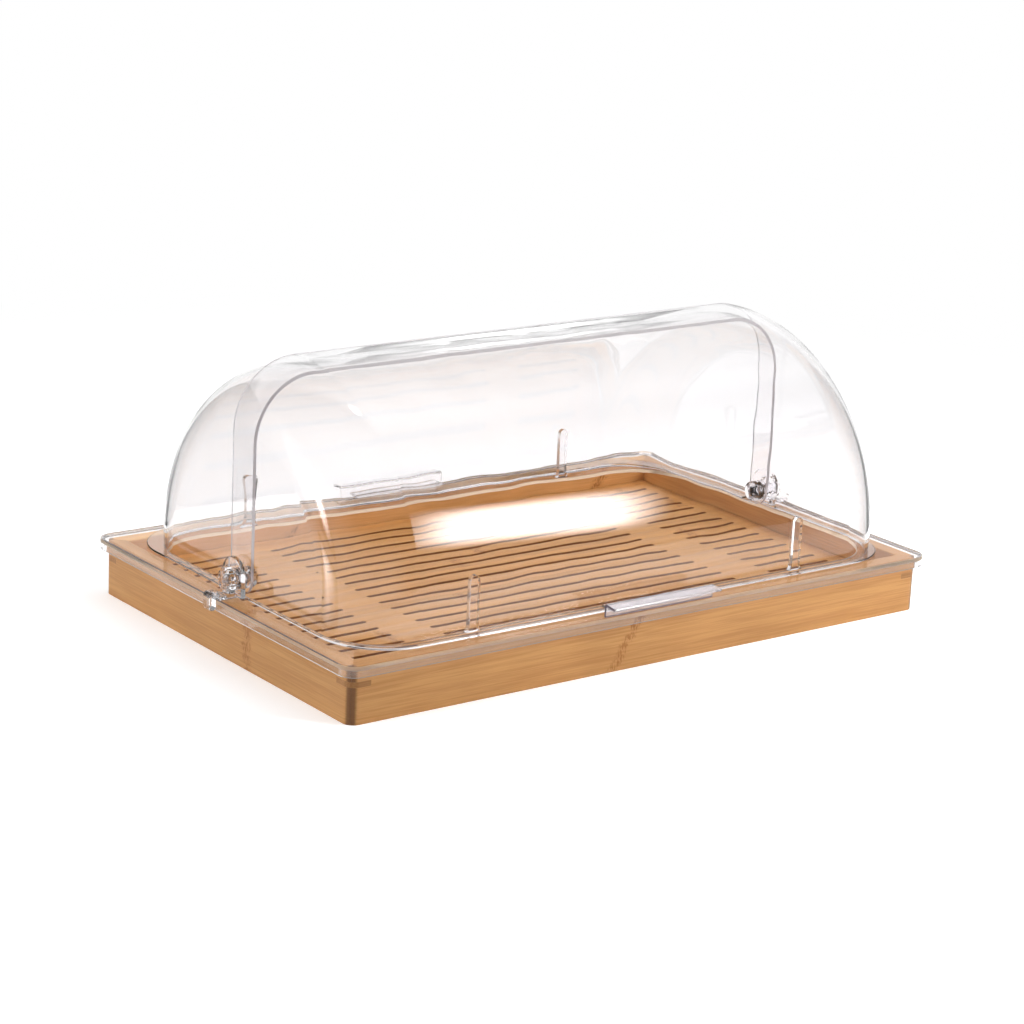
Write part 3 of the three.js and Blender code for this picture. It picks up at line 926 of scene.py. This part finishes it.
@dataclass
class RollCover(Part):
    """One leaf of the roll-top: a barrel with round ends, ears at the pivot and a base band."""

    side: Side
    radius: float
    half_length: float
    end_radius: float
    pivot_z: float
    ear: float
    wall: float = 2.5
    bore: float = 4.1
    foot_half_depth: float = 163.0
    foot_half_length: float = 253.0
    foot_corner: float = 50.0
    foot_thickness: float = 1.5
    foot_start: float = 18.0
    foot_steps: int = 9
    columns: int = 96
    ear_columns: int = 30
    fillet_steps: int = 18
    length_steps: int = 6
    edge_round: float = 0.5

    @property
    def core(self) -> float:
        """Radius at which the flat end turns into the round."""
        return self.radius - self.end_radius

    def _rings(self, inset: float) -> list[Pair]:
        """Lays out the rings of one of the leaf's two surfaces.

        Args:
            inset: how far the surface lies inside the outer one.

        Returns:
            Radius and station of each ring, from one bore to the other.
        """
        fillet = self.end_radius - inset
        start = -self.half_length + inset
        half = [(r, start) for r in (self.bore, self.ear * 0.68, self.ear)]
        half += [(self.ear + (self.core - self.ear) * (0.03 + 0.97 * share), start)
                 for share in (0.0, 0.08, 0.2, 0.4, 0.65)]
        for step in range(self.fillet_steps + 1):
            turn = QUARTER * step / self.fillet_steps
            half.append((self.core + fillet * math.sin(turn),
                         start + fillet - fillet * math.cos(turn)))
        barrel, end = half[-1]
        half += [(barrel, end * (1 - k / self.length_steps)) for k in range(1, self.length_steps)]
        return half + [(barrel, 0.0)] + [(r, -x) for r, x in reversed(half)]

    def _point(self, radius: float, station: float, angle: float) -> Point:
        """A point of a ring; the angle is up from the horizontal on the cover's own side."""
        return (station, self.side.value * radius * math.cos(angle),
                self.pivot_z + radius * math.sin(angle))

    def _ring_points(self, radius: float, station: float) -> list[Point]:
        """Lays out one ring, with the ear's extra quarter where the ring is inside the ear.

        Args:
            radius: of the ring.
            station: its X.

        Returns:
            The points, from the base up.
        """
        if radius > self.ear + TINY:
            lean = math.asin(self.ear / radius)
            return [self._point(radius, station, -lean + (QUARTER + 2 * lean) * k / self.columns)
                    for k in range(self.columns + 1)]
        turns = [-QUARTER + 3 * QUARTER * k / self.columns for k in range(self.columns + 1)]
        turns += [2 * QUARTER + QUARTER * k / self.ear_columns for k in range(1, self.ear_columns)]
        return [self._point(radius, station, turn) for turn in turns]

    def _shell(self) -> tuple[Solid, list[int]]:
        """Builds the barrel.

        Returns:
            Its corners and faces, and the slot of each face: 1 is the cut rim, 2 the inside.
        """
        points: list[Point] = []
        faces: list[list[int]] = []
        slots: list[int] = []
        numbers: list[list[list[int]]] = []
        for inset in (0.0, self.wall):
            rows = []
            for radius, station in self._rings(inset):
                ring = self._ring_points(radius, station)
                rows.append(list(range(len(points), len(points) + len(ring))))
                points += ring
            numbers.append(rows)
        whole = len(numbers[0][0])

        def add(face: list[int], slot: int) -> None:
            """Keeps one face and its slot."""
            faces.append(face)
            slots.append(slot)

        for slot, rows in zip((0, 2), numbers):
            for here, there in zip(rows, rows[1:]):
                for k in range(whole if len(here) == len(there) == whole else self.columns):
                    n = (k + 1) % whole
                    add([here[k], here[n], there[n], there[k]], slot)
        outside, inside = numbers
        for k in range(len(outside) - 1):
            if not len(outside[k]) == len(outside[k + 1]) == whole:
                for c in (0, self.columns):
                    add([outside[k][c], outside[k + 1][c], inside[k + 1][c], inside[k][c]], 1)
        ears = [k for k, row in enumerate(outside) if len(row) == whole]
        for k in ears:
            if k - 1 in ears and k + 1 in ears:
                continue
            bore = k in (0, len(outside) - 1)
            for c in range(0 if bore else self.columns, whole):
                n = (c + 1) % whole
                add([outside[k][c], outside[k][n], inside[k][n], inside[k][c]], 0 if bore else 1)
        return (points, faces), slots

    def _foot(self, turn: float | None, out: float, inset: float) -> Pair:
        """A point on the band's footprint.

        Args:
            turn: angle round the footprint's corner, or None on its end.
            out: Y of a point on its end.
            inset: how far the point is set in.

        Returns:
            X and Y.
        """
        if turn is None:
            return self.foot_half_length - inset, out
        radius = self.foot_corner - inset
        return (self.foot_half_length - self.foot_corner + radius * math.cos(turn),
                self.foot_half_depth - self.foot_corner + radius * math.sin(turn))

    def _barrel(self, turn: float | None, y: float, z: float) -> Pair:
        """A point just off the barrel's outer face.

        Args:
            turn: angle round the barrel's rounded end, or None on its flat end.
            y: of a point on the flat end.
            z: its height.

        Returns:
            X and Y.
        """
        if turn is None:
            return self.half_length + OVERLAP, y
        reach = self.end_radius + OVERLAP
        ring = self.core + reach * math.sin(turn)
        return (self.half_length - self.end_radius + reach * math.cos(turn),
                math.sqrt(ring ** 2 - (self.pivot_z - z) ** 2))

    def _band(self) -> Solid:
        """Builds the base band outside the barrel, swept from hub to hub.

        Returns:
            Corners and faces.
        """
        base = self.pivot_z - self.ear
        top = base + self.foot_thickness
        flat = math.sqrt(self.core ** 2 - self.ear ** 2)
        straight = self.foot_half_depth - self.foot_corner
        rows = []
        for share in (k / self.foot_steps for k in range(self.foot_steps)):
            rows.append((None, self.foot_start + (flat - self.foot_start) * share,
                         self.foot_start + (straight - self.foot_start) * share))
        rows += [(QUARTER * step / self.fillet_steps, 0.0, 0.0)
                 for step in range(self.fillet_steps + 1)]
        half = []
        for turn, y, out in rows:
            foot = [(*self._foot(turn, out, inset), z) for inset, z in (
                (0.3, base), (0.0, base + 0.3), (0.0, top - 0.4), (0.4, top))]
            half.append([(*self._barrel(turn, y, base), base), *foot,
                         (*self._barrel(turn, y, top), top)])
        loops = [[(end * x, self.side.value * y, z) for x, y, z in section]
                 for end, sections in ((1, half), (-1, half[::-1])) for section in sections]
        return banded(loops, False)

    def build(self) -> None:
        """Builds the leaf with its band."""
        name = self.side.word
        shell, slots = self._shell()
        band = self._band()
        look = self.finishes
        leaf = link_piece(f"clear_{name}_leaf", joined([shell, band]),
                          [look.clear, look.cut_edge, look.inside, look.foot],
                          face_slots=slots + [3] * len(band[1]))
        soften(leaf, self.edge_round)
        hand_over(leaf, f"{name}_lid", f"{name}_cover")


@dataclass
class Grip(Part):
    """Moulded finger grip: a foot, an upright that reaches down to the frame, and a lip."""

    side: Side
    wall: float = 1.9
    tuck: float = 2.7
    lip: float = 10.0
    droop: float = 1.0
    tab_inset: float = 8.0
    edge_round: float = 0.35

    def build(self) -> None:
        """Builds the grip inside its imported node's box."""
        name, sign = self.side.word, self.side.value
        low, high = box_of(f"{name}_grip")
        near, far = sorted((abs(low.y), abs(high.y)))
        foot = low.z + self.tuck
        face, back = far - self.lip, far - self.lip - self.wall
        top, under = high.z, high.z - self.wall
        tip_top, tip_under = top - self.droop, under - self.droop
        outline = [(back, low.z), (face - 0.4, low.z), (face, low.z + 0.4), (face, low.z + 1.3),
                   (face, under - 1.4), (face + 0.4, under - 0.5), (face + 1.4, under - 0.1),
                   (far - 1.0, tip_under), (far - 0.3, tip_under + 0.2), (far, tip_under + 0.9),
                   (far - 0.3, tip_top - 0.2), (far - 1.0, tip_top), (face, top),
                   (face - 1.1, top - 0.35), (back, top - 1.6)]
        tab = [(near, foot), (back - 1.2, foot), (back - 0.1, foot - 0.4),
               (back - 0.1, foot + self.wall), (near, foot + self.wall)]
        blade, hidden = (
            extruded([(sign * y, z) for y, z in section], low.x + inset, high.x - inset, along_x)
            for section, inset in ((outline, 0.0), (tab, self.tab_inset)))
        look, front = self.finishes, self.side is Side.FRONT
        # On the front grip, the lower edge faces and the two ends take the dark slot: painted shade
        # lines.
        slots = [int(front and (k <= 2 or k >= len(outline))) for k in range(len(blade[1]))]
        grip = link_piece(f"clear_{name}_grip", joined([blade, hidden]),
                          [look.grip if front else look.fitting, look.dark_edge, look.fitting],
                          smooth_below=40.0, face_slots=slots + [2] * len(hidden[1]))
        soften(grip, self.edge_round)
        hand_over(grip, f"{name}_lid", f"{name}_grip")


@dataclass
class Pivot(Part):
    """Everything on one pivot axis: hooked bracket, fluted knob, pin, spacers and inner cap."""

    end: End
    pivot_z: float
    base_z: float
    eye_radius: float = 13.0
    eye_rise: float = 4.0
    eye_plate: float = 4.0
    arm_half: float = 8.6
    fork_half: float = 5.6
    hook_half: float = 4.5
    hook_wall: float = 5.6
    arm_wall: float = 2.6
    crown_rise: float = 2.4
    knob_gap: float = 0.9
    bore: float = 4.1
    pin: float = 4.0
    flutes: int = 12
    flute_depth: float = 0.5
    steps: int = 72
    axis_radius: float = 0.02
    edge_round: float = 0.5

    def _name(self, node: str) -> str:
        """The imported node's name at this end."""
        return f"{self.end.word}_{node}"

    def _skin(self) -> Material:
        """The clear plastic of this end's fittings; at the right end a paler, less-refracting copy,
        painted lighter.
        """
        return self.finishes.fitting if self.end is End.LEFT else self.finishes.fine_fitting

    def _span(self, node: str) -> list[float]:
        """Nearest and furthest |x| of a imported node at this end."""
        return sorted(abs(corner.x) for corner in box_of(self._name(node)))

    def _turned(self, node: str, profile: Sequence[Pair], fluted: Sequence[int] = ()) -> None:
        """Revolves a profile about the pivot axis as one piece.

        Args:
            node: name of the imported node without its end.
            profile: radius and |x| of each corner, round the section; radius 0 is the axis.
            fluted: corner numbers that carry flutes.
        """
        closed = profile[0][0] > 0 and profile[-1][0] > 0
        loops = []
        for k, (radius, x) in enumerate(profile):
            loop = []
            for step in range(self.steps):
                turn = 2 * math.pi * step / self.steps
                flute = self.flute_depth * math.cos(self.flutes * turn) if k in fluted else 0.0
                r = max(radius, self.axis_radius) + flute
                loop.append((self.end.value * x, r * math.cos(turn),
                             self.pivot_z + r * math.sin(turn)))
            loops.append(loop)
        name = self._name(node)
        piece = link_piece(f"clear_{name}", banded(loops, closed), [self._skin()], 35.0)
        flatten_shading(piece)
        hand_over(piece, "lid_frame", name)

    def _eye(self, inside: float) -> Solid:
        """Builds the bored plate with the round top.

        Args:
            inside: |x| of its inner face.

        Returns:
            Corners and faces.
        """
        sign, radius = self.end.value, self.eye_radius
        edge = [(-radius, self.base_z), (radius, self.base_z)]
        edge += arc(0, self.pivot_z + self.eye_rise, radius, 0, 180, 36)
        hole = arc(0, self.pivot_z, self.bore, 0, 360, 40)[:-1]
        work = bmesh.new()
        for ring in (edge, hole):
            verts = [work.verts.new((sign * inside, y, z)) for y, z in ring]
            for k in range(len(verts)):
                work.edges.new((verts[k], verts[(k + 1) % len(verts)]))
        bmesh.ops.triangle_fill(work, use_beauty=True, edges=work.edges[:])
        grown = bmesh.ops.extrude_face_region(work, geom=work.faces[:])
        moved = [v for v in grown["geom"] if isinstance(v, bmesh.types.BMVert)]
        bmesh.ops.translate(work, verts=moved, vec=(sign * self.eye_plate, 0, 0))
        work.verts.index_update()
        solid = ([tuple(v.co) for v in work.verts],
                 [[v.index for v in face.verts] for face in work.faces])
        work.free()
        return solid

    def _arm(self, start: float, bar: float, outside: float, foot: float) -> list[Solid]:
        """Builds the two rails of the fork and the bar that ends in the hook.

        Args:
            start: |x| where the rails leave the eye plate.
            bar: |x| where the rails join.
            outside: |x| of the hook's outer face.
            foot: height of the hook's tip.

        Returns:
            The parts.
        """
        base, hook, half = self.base_z, outside - self.hook_wall, self.hook_wall / 2
        top = base + self.arm_wall
        crown = top + self.crown_rise
        tip = [(hook, base - 0.3), (hook, foot + half)]
        tip += arc(hook + half, foot + half, half, 180, 360, 12)[1:]
        tip += arc(outside - half, crown - half, half, 0, 90, 8)
        tip += [(hook - 1.5, crown), (hook - 3.0, top + 0.6), (hook - 4.2, top), (hook - 4.2, base)]

        def strip(near: float, far: float) -> list[Pair]:
            """Outline of a flat strip between two |x|."""
            return [(near, base), (far, base), (far, top), (near, top)]

        rail = strip(start, bar + OVERLAP)
        return [extruded([(self.end.value * x, z) for x, z in outline], low, high, along_y)
                for outline, low, high in (
                    (rail, self.fork_half, self.arm_half), (rail, -self.arm_half, -self.fork_half),
                    (strip(bar, hook - OVERLAP), -self.arm_half, self.arm_half),
                    (tip, -self.hook_half, self.hook_half))]

    def _bracket(self) -> None:
        """Builds the eye plate with the arm that hooks over the frame's edge."""
        name = self._name("clip_bracket")
        inside, outside = self._span("clip_bracket")
        _, knob_out = self._span("pivot_knob")
        arm = self._arm(inside + self.eye_plate + OVERLAP, knob_out + self.knob_gap, outside,
                        box_of(name)[0].z)
        piece = link_piece(f"clear_{name}", joined([self._eye(inside), *arm]), [self._skin()])
        soften(piece, self.edge_round)
        hand_over(piece, "lid_frame", name)

    def build(self) -> None:
        """Builds every piece of the pivot."""
        self._bracket()
        a, b = self._span("pivot_pin")
        self._turned("pivot_pin", [(0, a), (self.pin - 0.5, a), (self.pin, a + 0.5),
                                   (self.pin, b - 0.5), (self.pin - 0.5, b), (0, b)])
        a, b = self._span("pivot_knob")
        self._turned("pivot_knob", [(0, a + 5), (self.bore, a + 5), (self.bore, a), (8.9, a),
                                    (9.4, a + 0.5), (9.4, b - 2.0), (9.0, b - 1.5), (7.9, b - 0.9),
                                    (6.8, b), (5.6, b), (4.6, b - 0.8), (0, b - 0.8)], (3, 4, 5, 6))
        a, b = self._span("pivot_cap")
        cap = [(0, b - 4.5), (self.bore, b - 4.5), (self.bore, b), (7.6, b), (8.0, b - 0.4)]
        cap += [(5.5 + r, a + 2.5 - x) for r, x in arc(0, 0, 2.5, 0, 90, 8)] + [(0, a)]
        self._turned("pivot_cap", cap)
        for node in ("inner_spacer", "outer_spacer"):
            a, b = self._span(node)
            self._turned(node, [(self.bore, a), (7.7, a), (8.0, a + 0.3), (8.0, b - 0.3), (7.7, b),
                                (self.bore, b)])


# Studio


@dataclass(frozen=True)
class Softbox:
    """A glowing panel seen only as light and in gloss, dimmer towards its edges.

    With through, light that turned inside clear plastic meets it too. Without lights, it lights no
    matt face.
    """

    name: str
    corners: tuple[Point, Point, Point, Point]
    strength: float
    soft_edge: float
    through: bool = False
    lights: bool = True

    def build(self) -> None:
        """Builds the panel as part of the stage."""
        material, s = surface_only(self.name)
        split = s.add("ShaderNodeSeparateXYZ", {0: s.add("ShaderNodeUVMap").outputs[0]})
        level: object = self.strength
        for axis in (0, 1):
            inside = s.math("PINGPONG", split.outputs[axis], 0.5)
            level = s.math("MULTIPLY", level, s.ramp(inside, 0.0, self.soft_edge))
        glow = s.add("ShaderNodeEmission", {"Color": WHITE, "Strength": level})
        if self.through:
            path, air = s.add("ShaderNodeLightPath"), s.add("ShaderNodeBsdfTransparent")
            turned = s.math("GREATER_THAN", path.outputs["Glossy Depth"], 0.5)
            glow = s.add("ShaderNodeMixShader", {0: turned, 1: air.outputs[0], 2: glow.outputs[0]})
        s.add("ShaderNodeOutputMaterial", {"Surface": glow.outputs[0]})
        panel = link_piece(self.name, (list(self.corners), [[0, 1, 2, 3]]), [material])
        spread = panel.data.uv_layers.new(name="spread")
        for loop in panel.data.loops:
            spread.data[loop.index].uv = ((0, 1), (1, 1), (1, 0), (0, 0))[loop.vertex_index]
        panel.visible_camera = False
        panel.visible_transmission = self.through
        panel.visible_diffuse = self.lights
        panel.visible_shadow = False
        LOG.info("lit %s", self.name)


@dataclass
class Studio:
    """Pale floor, white surround, soft lamps and the camera at the photograph's place."""

    floor_colour: Colour = (0.93, 0.93, 0.935)
    floor_lift: float = 0.25
    floor_reach: float = 9000.0
    fade_start: float = 0.42
    fade_end: float = 1.1
    bounce: Colour = (0.36, 0.36, 0.365)
    surround_low: float = 0.17
    surround_high: float = 0.95
    front_share: float = 0.4
    backdrop_way: Colour = (0.583, 0.763, -0.02)
    dim_low: float = 0.7
    dim_above: float = 0.1
    flank_way: Colour = (0.80, -0.60, 0.0)
    dim_flank: float = 0.3
    top_lamp: float = 15.0
    left_lamp: float = 7.0

    def build(self) -> None:
        """Builds the whole studio."""
        self._floor()
        self._world()
        self._panels()
        self._lamp("overhead_lamp", (1.0, -0.95, 1.0), 1.1, self.top_lamp)
        self._lamp("left_lamp", (-1.34, 0.13, 0.575), 0.8, self.left_lamp)
        self._camera()

    def _floor(self) -> None:
        """Builds the floor: it keeps the shadow near the object and fades to white further out."""
        material, s = surface_only("studio_floor")
        place = s.add("ShaderNodeNewGeometry").outputs["Position"]
        flat = s.add("ShaderNodeVectorMath", {0: place, 1: (1, 1, 0)}, operation="MULTIPLY")
        away = s.add("ShaderNodeVectorMath", {0: flat.outputs[0]},
                     operation="LENGTH").outputs["Value"]
        path = s.add("ShaderNodeLightPath").outputs
        seen = s.math("MAXIMUM", path["Is Camera Ray"], s.math(
            "MAXIMUM", path["Is Glossy Ray"], path["Is Transmission Ray"]))
        paint = s.mix(seen, (*self.bounce, 1), (*self.floor_colour, 1))
        matt = s.add("ShaderNodeBsdfDiffuse", {"Color": paint})
        lift = s.add("ShaderNodeEmission", {
            "Color": WHITE, "Strength": s.math("MULTIPLY", seen, self.floor_lift)})
        near = s.add("ShaderNodeAddShader", {0: matt.outputs[0], 1: lift.outputs[0]})
        far = s.add("ShaderNodeEmission", {"Color": WHITE, "Strength": 1.0})
        fade = s.math("MULTIPLY", s.ramp(away, self.fade_start, self.fade_end), seen)
        both = s.add("ShaderNodeMixShader", {0: fade, 1: near.outputs[0], 2: far.outputs[0]})
        s.add("ShaderNodeOutputMaterial", {"Surface": both.outputs[0]})
        reach = self.floor_reach
        corners = [(-reach, -reach, 0), (reach, -reach, 0), (reach, reach, 0), (-reach, reach, 0)]
        link_piece("studio_floor", (corners, [[0, 1, 2, 3]]), [material])

    def _world(self) -> None:
        """Builds the surround: white backdrop, dimmer elsewhere to glass and gloss."""
        world = bpy.data.worlds.new("studio_surround")
        world.use_nodes = True
        s = Shader(world.node_tree)
        way = s.add("ShaderNodeTexCoord").outputs["Generated"]
        _, back_way, up = s.add("ShaderNodeSeparateXYZ", {0: way}).outputs
        aim, flank = (s.add("ShaderNodeVectorMath", {0: way, 1: target},
                            operation="DOT_PRODUCT").outputs["Value"]
                      for target in (self.backdrop_way, self.flank_way))
        above = s.math("MULTIPLY", s.ramp(up, 0.04, 0.16, 1.0, self.dim_low),
                       s.ramp(up, 0.16, 0.5, 1.0, self.dim_above / self.dim_low))
        above = s.math("MULTIPLY", above, s.ramp(flank, 0.35, 0.85, 1.0, self.dim_flank))
        behind = s.math("MAXIMUM", above, s.ramp(aim, 0.17, 0.4))
        path = s.add("ShaderNodeLightPath").outputs
        bent = s.math("MAXIMUM", path["Is Glossy Ray"], path["Is Transmission Ray"])
        bent = s.math("MULTIPLY", bent, s.math("LESS_THAN", path["Diffuse Depth"], 0.5))
        lit = s.math("MULTIPLY", s.ramp(up, 0.05, 0.85, self.surround_low, self.surround_high),
                     s.ramp(back_way, -0.6, 0.1, self.front_share, 1.0))
        level = s.add("ShaderNodeMix", {0: bent, 2: lit, 3: behind}).outputs[0]
        level = s.add("ShaderNodeMix", {0: path["Is Camera Ray"], 2: level, 3: 1.0}).outputs[0]
        back = s.add("ShaderNodeBackground", {"Color": WHITE, "Strength": level})
        s.add("ShaderNodeOutputWorld", {"Surface": back.outputs[0]})
        bpy.context.scene.world = world

    @staticmethod
    def _panels() -> None:
        """Builds the key panel, the strips at the left, two dark cards and the panels behind."""
        for panel in (
                Softbox("key_panel", ((622, -1139, 1011), (983, -1134, 823), (1014, -1395, 276),
                                      (585, -1381, 548)), 32.0, 0.34),
                Softbox("left_strip", ((-1340, 480, 10), (-1340, 110, 10), (-1340, 200, 470),
                                       (-1340, 700, 470)), 20.0, 0.5, lights=False),
                Softbox("left_floor_strip", ((-900, 370, 2), (-900, 50, 2), (-315, -100, 2),
                                             (-315, 25, 2)), 8.0, 0.5, lights=False),
                Softbox("right_card", ((450, -450, 2), (450, -30, 2), (450, -30, 350),
                                       (450, -450, 350)), 0.3, 0.02, through=True, lights=False),
                Softbox("left_card", ((-700, 330, 2), (-205, 330, 2), (-205, 330, 350),
                                      (-700, 330, 350)), 0.3, 0.02, through=True, lights=False),
                Softbox("spot_panel", ((190, 30, 1500), (490, 30, 1500), (490, 240, 1500),
                                       (190, 240, 1500)), 26.0, 0.4),
                Softbox("back_panel", ((955, 1650, 500), (1320, 1378, 500), (1320, 1378, 830),
                                       (955, 1650, 830)), 4.0, 0.5, through=True)):
            panel.build()

    @staticmethod
    def _lamp(name: str, place: Point, size: float, energy: float) -> None:
        """Builds a soft lamp that shines at the object and isn't seen in it.

        Args:
            name: of the lamp.
            place: where it stands, in metres.
            size: its width in metres.
            energy: its power in watts.
        """
        light = bpy.data.lights.new(name, "AREA")
        light.shape = "DISK"
        light.size = size
        light.energy = energy
        lamp = linked(name, light)
        lamp.location = place
        lamp.rotation_euler = Vector(place).to_track_quat("Z", "Y").to_euler()
        lamp.visible_transmission = False
        lamp.visible_glossy = False

    @staticmethod
    def _camera() -> None:
        """Builds the camera at the place recovered from the photograph."""
        lens = bpy.data.cameras.new("photo_camera")
        lens.sensor_width = 36.0
        lens.lens = 103.0
        lens.clip_start = 0.05
        camera = linked("photo_camera", lens)
        right = Vector((0.80179431, -0.59588051, 0.04530224))
        up = Vector((0.13231386, 0.25093892, 0.95891746))
        place = Vector((-1.31385, -1.71230, 0.70060))
        turn = Matrix((right, up, right.cross(up))).transposed()
        camera.matrix_world = Matrix.Translation(place) @ turn.to_4x4()
        bpy.context.scene.camera = camera


def main() -> None:
    """Builds the tray, the board, the frame, the covers, their fittings and the studio."""
    logging.basicConfig(level=logging.INFO, format="%(name)s: %(message)s")
    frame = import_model()
    finishes = Finishes(Effects())
    Tray(finishes, frame["nodes"]).build()
    CrumbBoard(finishes).build()
    base = box_of("front_cover")[0].z
    pivot_z = frame["joints"][0]["pos_m"][2] / METRES
    opening_half, post_gap = 246.5, 0.3
    opening = (opening_half, box_of("post_front_left")[1].y + post_gap,
               box_of("post_rear_left")[0].y - post_gap)
    CoverFrame(finishes, opening).build()
    for side in Side:
        for end in End:
            Post(finishes, side, end).build()
    leaf_sizes = {Side.FRONT: (158.5, 250.0, 50.0), Side.REAR: (150.0, 245.5, 48.0)}
    for side, (radius, half_length, end_radius) in leaf_sizes.items():
        RollCover(finishes, side, radius, half_length, end_radius, pivot_z, pivot_z - base).build()
        Grip(finishes, side).build()
    for end in End:
        Pivot(finishes, end, pivot_z, base).build()
    Studio().build()
    bpy.context.scene.view_settings.view_transform = "Standard"


if __name__ == "__main__":
    main()
